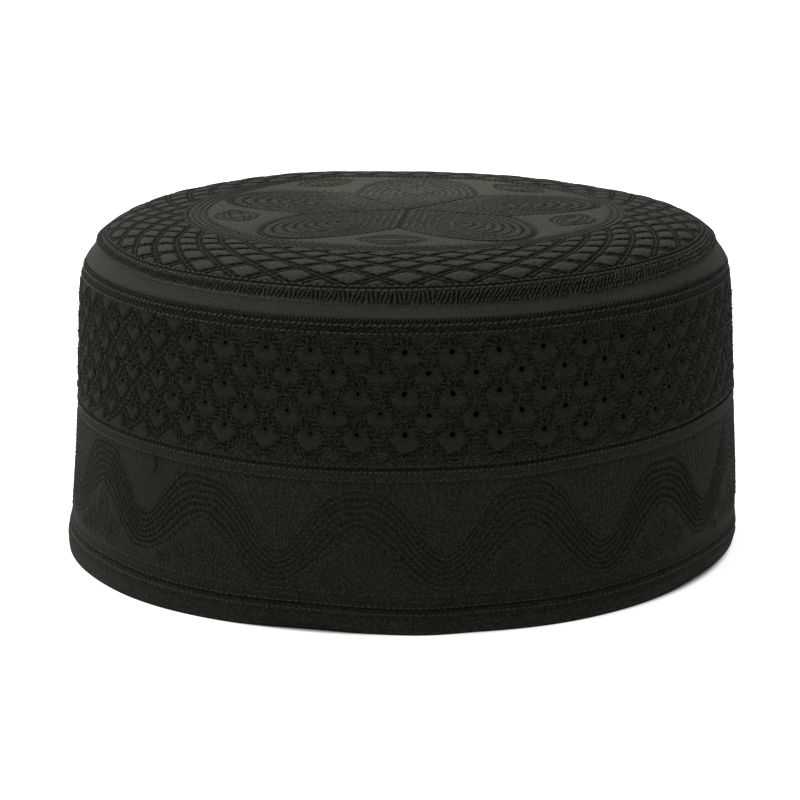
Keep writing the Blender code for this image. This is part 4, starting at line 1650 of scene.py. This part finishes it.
def sew_lower_wall(sizes, thread):
    """Waves of parallel rows, fans over their troughs and buds under their crests."""
    relief = by_way(lower_wall_relief, sizes.puff / MM)
    waves = Guide(relief)
    azimuth = full_turn(WAVE_SAMPLES)
    for row in range(WAVE_ROWS):
        height = wave_height(azimuth, row)
        waves.line(way_at(height), azimuth, 0.08, True)
    yield waves.sew("waves", row_tree(), stitch_values(sizes, thread, STITCHES["waves"]))

    buds, fans = Guide(relief), Guide(relief)
    turn = np.linspace(0.0, 2.0 * np.pi, 28, endpoint=False)
    crests = crest_azimuths()
    for crest in crests:
        for bud in BUDS:
            lean = math.radians(bud.lean)
            for line in range(2, BUD_LINES + 1):
                rise = line / BUD_LINES * bud.half_length * np.cos(turn)
                across = line / BUD_LINES * bud.half_width * np.sin(turn)
                x = bud.side + across * math.cos(lean) + rise * math.sin(lean)
                z = bud.height + rise * math.cos(lean) - across * math.sin(lean)
                buds.line(way_at(z), crest + np.degrees(x / WAVE_LEVEL), 0.04, True)
    for trough in crests + 0.5 * np.diff(crests, append=crests[0] + 360.0):
        if abs(trough - PLAIN_TROUGH) < PLAIN_REACH:
            continue
        for angle in np.radians(FAN_STEP * (np.arange(-FAN_RAYS, FAN_RAYS) + 0.5)):
            ray = np.arange(FAN_START, FAN_END, FAN_GAP)
            side, height = ray * math.sin(angle), FAN_FOCUS + ray * math.cos(angle)
            place = trough + np.degrees(side / WAVE_LEVEL)
            kept = (height < FAN_TOP) & (height > wave_height(place, WAVE_ROWS - 1) + 1.0)
            fans.line(way_at(height[kept]), place[kept], 0.02)
    yield buds.sew("buds", row_tree(), stitch_values(sizes, thread, STITCHES["buds"]))
    yield fans.sew("fans", row_tree(), stitch_values(sizes, thread, STITCHES["fans"]))


# Properties, operators and panel

class CapSizes(PropertyGroup):
    puff: FloatProperty(
        name="Puff", description="How far a padded cell stands out",
        default=0.0008, unit="LENGTH")
    stitch_pitch: FloatProperty(
        name="Stitch pitch", description="From one stitch of a row to the next",
        default=0.0020, unit="LENGTH")
    stitch_length: FloatProperty(
        name="Stitch length", description="Length of a plain stitch",
        default=0.0019, unit="LENGTH")
    stitch_width: FloatProperty(
        name="Stitch width", description="Width of the thread as it lies",
        default=0.00055, unit="LENGTH")
    stitch_height: FloatProperty(
        name="Stitch height", description="Thickness of the thread as it lies",
        default=0.00045, unit="LENGTH")
    wall_columns: IntProperty(
        name="Wall columns", description="Columns of the wall's lower half", default=840)


class CapColours(PropertyGroup):
    # Painted lighter than the wall's cloth, which is the same cloth, for the light and sheen the crown
    # catches from above
    crown_cloth: FloatVectorProperty(
        name="Crown cloth", description="Cloth of the crown",
        subtype="COLOR", default=(0.0435, 0.0430, 0.0345))
    wall_cloth: FloatVectorProperty(
        name="Wall cloth", description="Cloth of the wall",
        subtype="COLOR", default=(0.0123, 0.0126, 0.0086))
    # Painted lighter than the hem's cloth, which is the same plain cloth, for the light that falls on the
    # sloping shoulder
    plain_cloth: FloatVectorProperty(
        name="Plain cloth", description="Cloth of the plain strip",
        subtype="COLOR", default=(0.0215, 0.0213, 0.0165))
    hem_cloth: FloatVectorProperty(
        name="Hem cloth", description="Cloth of the hem",
        subtype="COLOR", default=(0.0123, 0.0126, 0.0086))
    # Painted lighter than the wall's thread, for the light and sheen the crown catches from above
    crown_thread: FloatVectorProperty(
        name="Crown thread", description="Thread on the crown",
        subtype="COLOR", default=(0.0300, 0.0295, 0.0235))
    satin_thread: FloatVectorProperty(
        name="Satin thread", description="Thread of the crown's border",
        subtype="COLOR", default=(0.0200, 0.0200, 0.0158))
    wall_thread: FloatVectorProperty(
        name="Wall thread", description="Thread on the wall",
        subtype="COLOR", default=(0.0132, 0.0135, 0.0095))
    rope_thread: FloatVectorProperty(
        name="Rope thread", description="Thread of the seams",
        subtype="COLOR", default=(0.0150, 0.0153, 0.0110))
    floor: FloatVectorProperty(
        name="Floor", description="The floor it stands on",
        subtype="COLOR", default=(0.6, 0.6, 0.6))


class CapOperator:
    """What the operators share: the scene's sizes and colours."""

    bl_options = {"REGISTER", "UNDO"}

    @property
    def sizes(self):
        return bpy.context.scene.cap_sizes

    @property
    def colours(self):
        return bpy.context.scene.cap_colours


class CAP_OT_crown_cloth(CapOperator, Operator):
    """Make the quilted top of the cap"""

    bl_idname = "cap.crown_cloth"
    bl_label = "Crown cloth"

    def execute(self, context):
        piece = build_crown(self.sizes, finish_named("crown_quilting", self.colours))
        dress(piece, "quilted_cloth", "crown_panel")
        return {"FINISHED"}


class CAP_OT_plain_strip(CapOperator, Operator):
    """Make the plain strip between the crown's edge and the seam"""

    bl_idname = "cap.plain_strip"
    bl_label = "Plain strip"

    def execute(self, context):
        puff = self.sizes.puff / MM
        azimuth = round_the_cap(PLAIN_COLUMNS)
        top, foot = crown_edge(azimuth) - 0.9, way_at(ROLL_FOOT) + 0.0 * azimuth
        ways = [top + share * (foot - top) for share in np.linspace(0.0, 1.0, STRIP_RINGS)]
        piece = build_band(
            "shoulder_cloth", ways, lambda level, turn: roll_relief(level, turn, puff),
            plain_pattern(0.25), PLAIN_COLUMNS, INNER_SPAN, CLOTH, finish_named("strip_cloth", self.colours))
        dress(piece, "plain_cloth", "shoulder_roll")
        return {"FINISHED"}


class CAP_OT_upper_wall(CapOperator, Operator):
    """Make the pierced upper half of the wall"""

    bl_idname = "cap.upper_wall"
    bl_label = "Upper wall"

    def execute(self, context):
        piece = build_upper_wall(self.sizes, finish_named("wall_quilting", self.colours))
        dress(piece, "quilted_cloth", "side_band")
        return {"FINISHED"}


class CAP_OT_lower_wall(CapOperator, Operator):
    """Make the lower half of the wall, which carries the waves"""

    bl_idname = "cap.lower_wall"
    bl_label = "Lower wall"

    def execute(self, context):
        puff = self.sizes.puff / MM
        ways = way_at(np.linspace(WALL_SPLIT - 0.2, WALL_FOOT, LOWER_RINGS))
        piece = build_band(
            "lower_wall_cloth", list(ways), lambda level, turn: lower_wall_relief(level, turn, puff),
            lower_wall_pattern, self.sizes.wall_columns, INNER_SPAN, CLOTH,
            finish_named("wall_quilting", self.colours))
        dress(piece, "quilted_cloth", "side_band")
        return {"FINISHED"}


class CAP_OT_hem(CapOperator, Operator):
    """Make the folded hem that the cap stands on"""

    bl_idname = "cap.hem"
    bl_label = "Hem"

    def execute(self, context):
        puff = self.sizes.puff / MM
        upright = way_at(np.linspace(WALL_FOOT - 0.1, 0.6, HEM_RINGS))
        ways = np.concatenate([upright, [WAY[-1] - 0.3, WAY[-1]]])
        piece = build_band(
            "hem_cloth", list(ways), lambda level, turn: hem_relief(level, turn, puff),
            plain_pattern(0.7), PLAIN_COLUMNS, 1, HEM_CLOTH, finish_named("hem_cloth", self.colours))
        dress(piece, "plain_cloth", "hem_band")
        return {"FINISHED"}


class CAP_OT_crown_embroidery(CapOperator, Operator):
    """Sew the crown's lattice, rings, petals, eyes and satin band"""

    bl_idname = "cap.crown_embroidery"
    bl_label = "Crown embroidery"

    def execute(self, context):
        thread = finish_named("crown_thread", self.colours)
        satin = finish_named("satin_thread", self.colours)
        dress(join_meshes("crown_embroidery", list(sew_crown(self.sizes, thread, satin))), "thread")
        dress(join_meshes("satin_band", list(sew_band(self.sizes, satin))), "thread")
        return {"FINISHED"}


class CAP_OT_ropes(CapOperator, Operator):
    """Sew the ropes that cover the seams"""

    bl_idname = "cap.ropes"
    bl_label = "Seam ropes"

    def execute(self, context):
        thread = finish_named("rope_thread", self.colours)
        for name in ROPES:
            rows = list(sew_ropes(name, self.sizes, thread))
            if name == "seam":
                rows += sew_over(self.sizes, thread)
            dress(join_meshes(name + "_stitches", rows), "thread", name + "_cord")
        return {"FINISHED"}


class CAP_OT_wall_embroidery(CapOperator, Operator):
    """Sew the eyelets' lattice and the waves"""

    bl_idname = "cap.wall_embroidery"
    bl_label = "Wall embroidery"

    def execute(self, context):
        thread = finish_named("wall_thread", self.colours)
        dress(join_meshes("eyelet_embroidery", list(sew_upper_wall(self.sizes, thread))), "thread")
        dress(join_meshes("wave_embroidery", list(sew_lower_wall(self.sizes, thread))), "thread")
        return {"FINISHED"}


class CAP_OT_stage(CapOperator, Operator):
    """Set out the floor, the lights and the camera"""

    bl_idname = "cap.stage"
    bl_label = "Stage"

    def execute(self, context):
        self.lay_floor()
        self.hang_lights()
        self.aim_camera()
        return {"FINISHED"}

    def lay_floor(self):
        finish, tree, shader = new_finish("floor")
        place = add_node(tree, "ShaderNodeTexCoord").outputs["Object"]
        # The floor glows outside the cap's foot: painted light that washes out the cap's shadow
        away = add_node(tree, "ShaderNodeVectorMath", {0: place}, operation="LENGTH")
        glow = add_node(tree, "ShaderNodeMapRange", {
            "Value": away.outputs["Value"], "From Min": GLOW_START, "From Max": GLOW_FULL,
            "To Min": 0.0, "To Max": FLOOR_GLOW})
        set_inputs(tree, shader, {
            "Base Color": opaque(self.colours.floor),
            "Roughness": 0.9,
            "Emission Color": (1.0, 1.0, 1.0, 1.0),
            "Emission Strength": glow.outputs[0],
        })
        data = bpy.data.meshes.new("floor")
        turn = np.linspace(0.0, 2.0 * np.pi, FLOOR_SIDES, endpoint=False)
        rim = np.stack([np.cos(turn), np.sin(turn), 0.0 * turn], axis=-1) * FLOOR_RADIUS
        data.from_pydata(rim.tolist(), [], [list(range(FLOOR_SIDES))])
        data.materials.append(finish)
        floor = linked("floor", data)
        floor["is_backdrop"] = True

    def hang_lights(self):
        world = bpy.data.worlds.new("studio")
        world.use_nodes = True
        tree = world.node_tree
        background = tree.nodes["Background"]
        direction = add_node(tree, "ShaderNodeTexCoord").outputs["Generated"]
        parts = add_node(tree, "ShaderNodeSeparateXYZ", {0: direction}).outputs
        glow = plus(tree, WORLD_EVEN, times(tree, parts[2], WORLD_TOP))
        glow = plus(tree, glow, times(tree, parts[1], WORLD_BACK))
        glow = plus(tree, glow, times(tree, parts[0], WORLD_RIGHT))
        feed(tree, background.inputs["Strength"], maths(tree, "MAXIMUM", glow, 0.02))
        background.inputs["Color"].default_value = (1.0, 1.0, 1.0, 1.0)
        bpy.context.scene.world = world
        for name, toward, strength, spread in SUNS:
            data = bpy.data.lights.new(name, "SUN")
            data.energy = strength
            data.angle = math.radians(spread)
            light = linked(name, data)
            light.rotation_euler = Vector(toward).to_track_quat("-Z", "Y").to_euler()

    def aim_camera(self):
        data = bpy.data.cameras.new("camera")
        data.lens = CAMERA_LENS
        data.sensor_width = 36.0
        data.clip_start, data.clip_end = 0.01, 50.0
        camera = linked("camera", data)
        tilt = math.radians(CAMERA_ELEVATION)
        target = np.array(CAMERA_TARGET)
        stand = target + CAMERA_DISTANCE * np.array((0.0, -math.cos(tilt), math.sin(tilt)))
        camera.location = tuple(stand * MM)
        turn = Vector(target - stand).to_track_quat("-Z", "Y").to_matrix()
        roll = Matrix.Rotation(math.radians(CAMERA_ROLL), 3, "Z")
        camera.rotation_euler = (turn @ roll).to_euler()
        bpy.context.scene.camera = camera
        bpy.context.scene.view_settings.view_transform = "Standard"


class CAP_PT_panel(Panel):
    """Sizes, colours and steps of the cap"""

    bl_idname = "CAP_PT_panel"
    bl_label = "Prayer cap"
    bl_space_type = "VIEW_3D"
    bl_region_type = "UI"
    bl_category = "Cap"

    def draw(self, context):
        layout = self.layout
        for group in (context.scene.cap_sizes, context.scene.cap_colours):
            box = layout.box()
            for name in group.bl_rna.properties.keys():
                if name not in {"rna_type", "name"}:
                    box.prop(group, name)
        for operator in STEPS:
            layout.operator(operator.bl_idname)


STEPS = (
    CAP_OT_stage,
    CAP_OT_crown_cloth,
    CAP_OT_plain_strip,
    CAP_OT_upper_wall,
    CAP_OT_lower_wall,
    CAP_OT_hem,
    CAP_OT_crown_embroidery,
    CAP_OT_ropes,
    CAP_OT_wall_embroidery,
)
CLASSES = (CapSizes, CapColours, *STEPS, CAP_PT_panel)


def register():
    for item in CLASSES:
        bpy.utils.register_class(item)
    bpy.types.Scene.cap_sizes = PointerProperty(type=CapSizes)
    bpy.types.Scene.cap_colours = PointerProperty(type=CapColours)


def unregister():
    del bpy.types.Scene.cap_colours
    del bpy.types.Scene.cap_sizes
    for item in reversed(CLASSES):
        bpy.utils.unregister_class(item)


def main():
    register()
    for operator in STEPS:
        group, name = operator.bl_idname.split(".")
        getattr(getattr(bpy.ops, group), name)()
    boxes = {"cad": CAD_BOX, "visual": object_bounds()}
    {name: [list(corner) for corner in box] for name, box in boxes.items()}


if __name__ == "__main__":
    main()
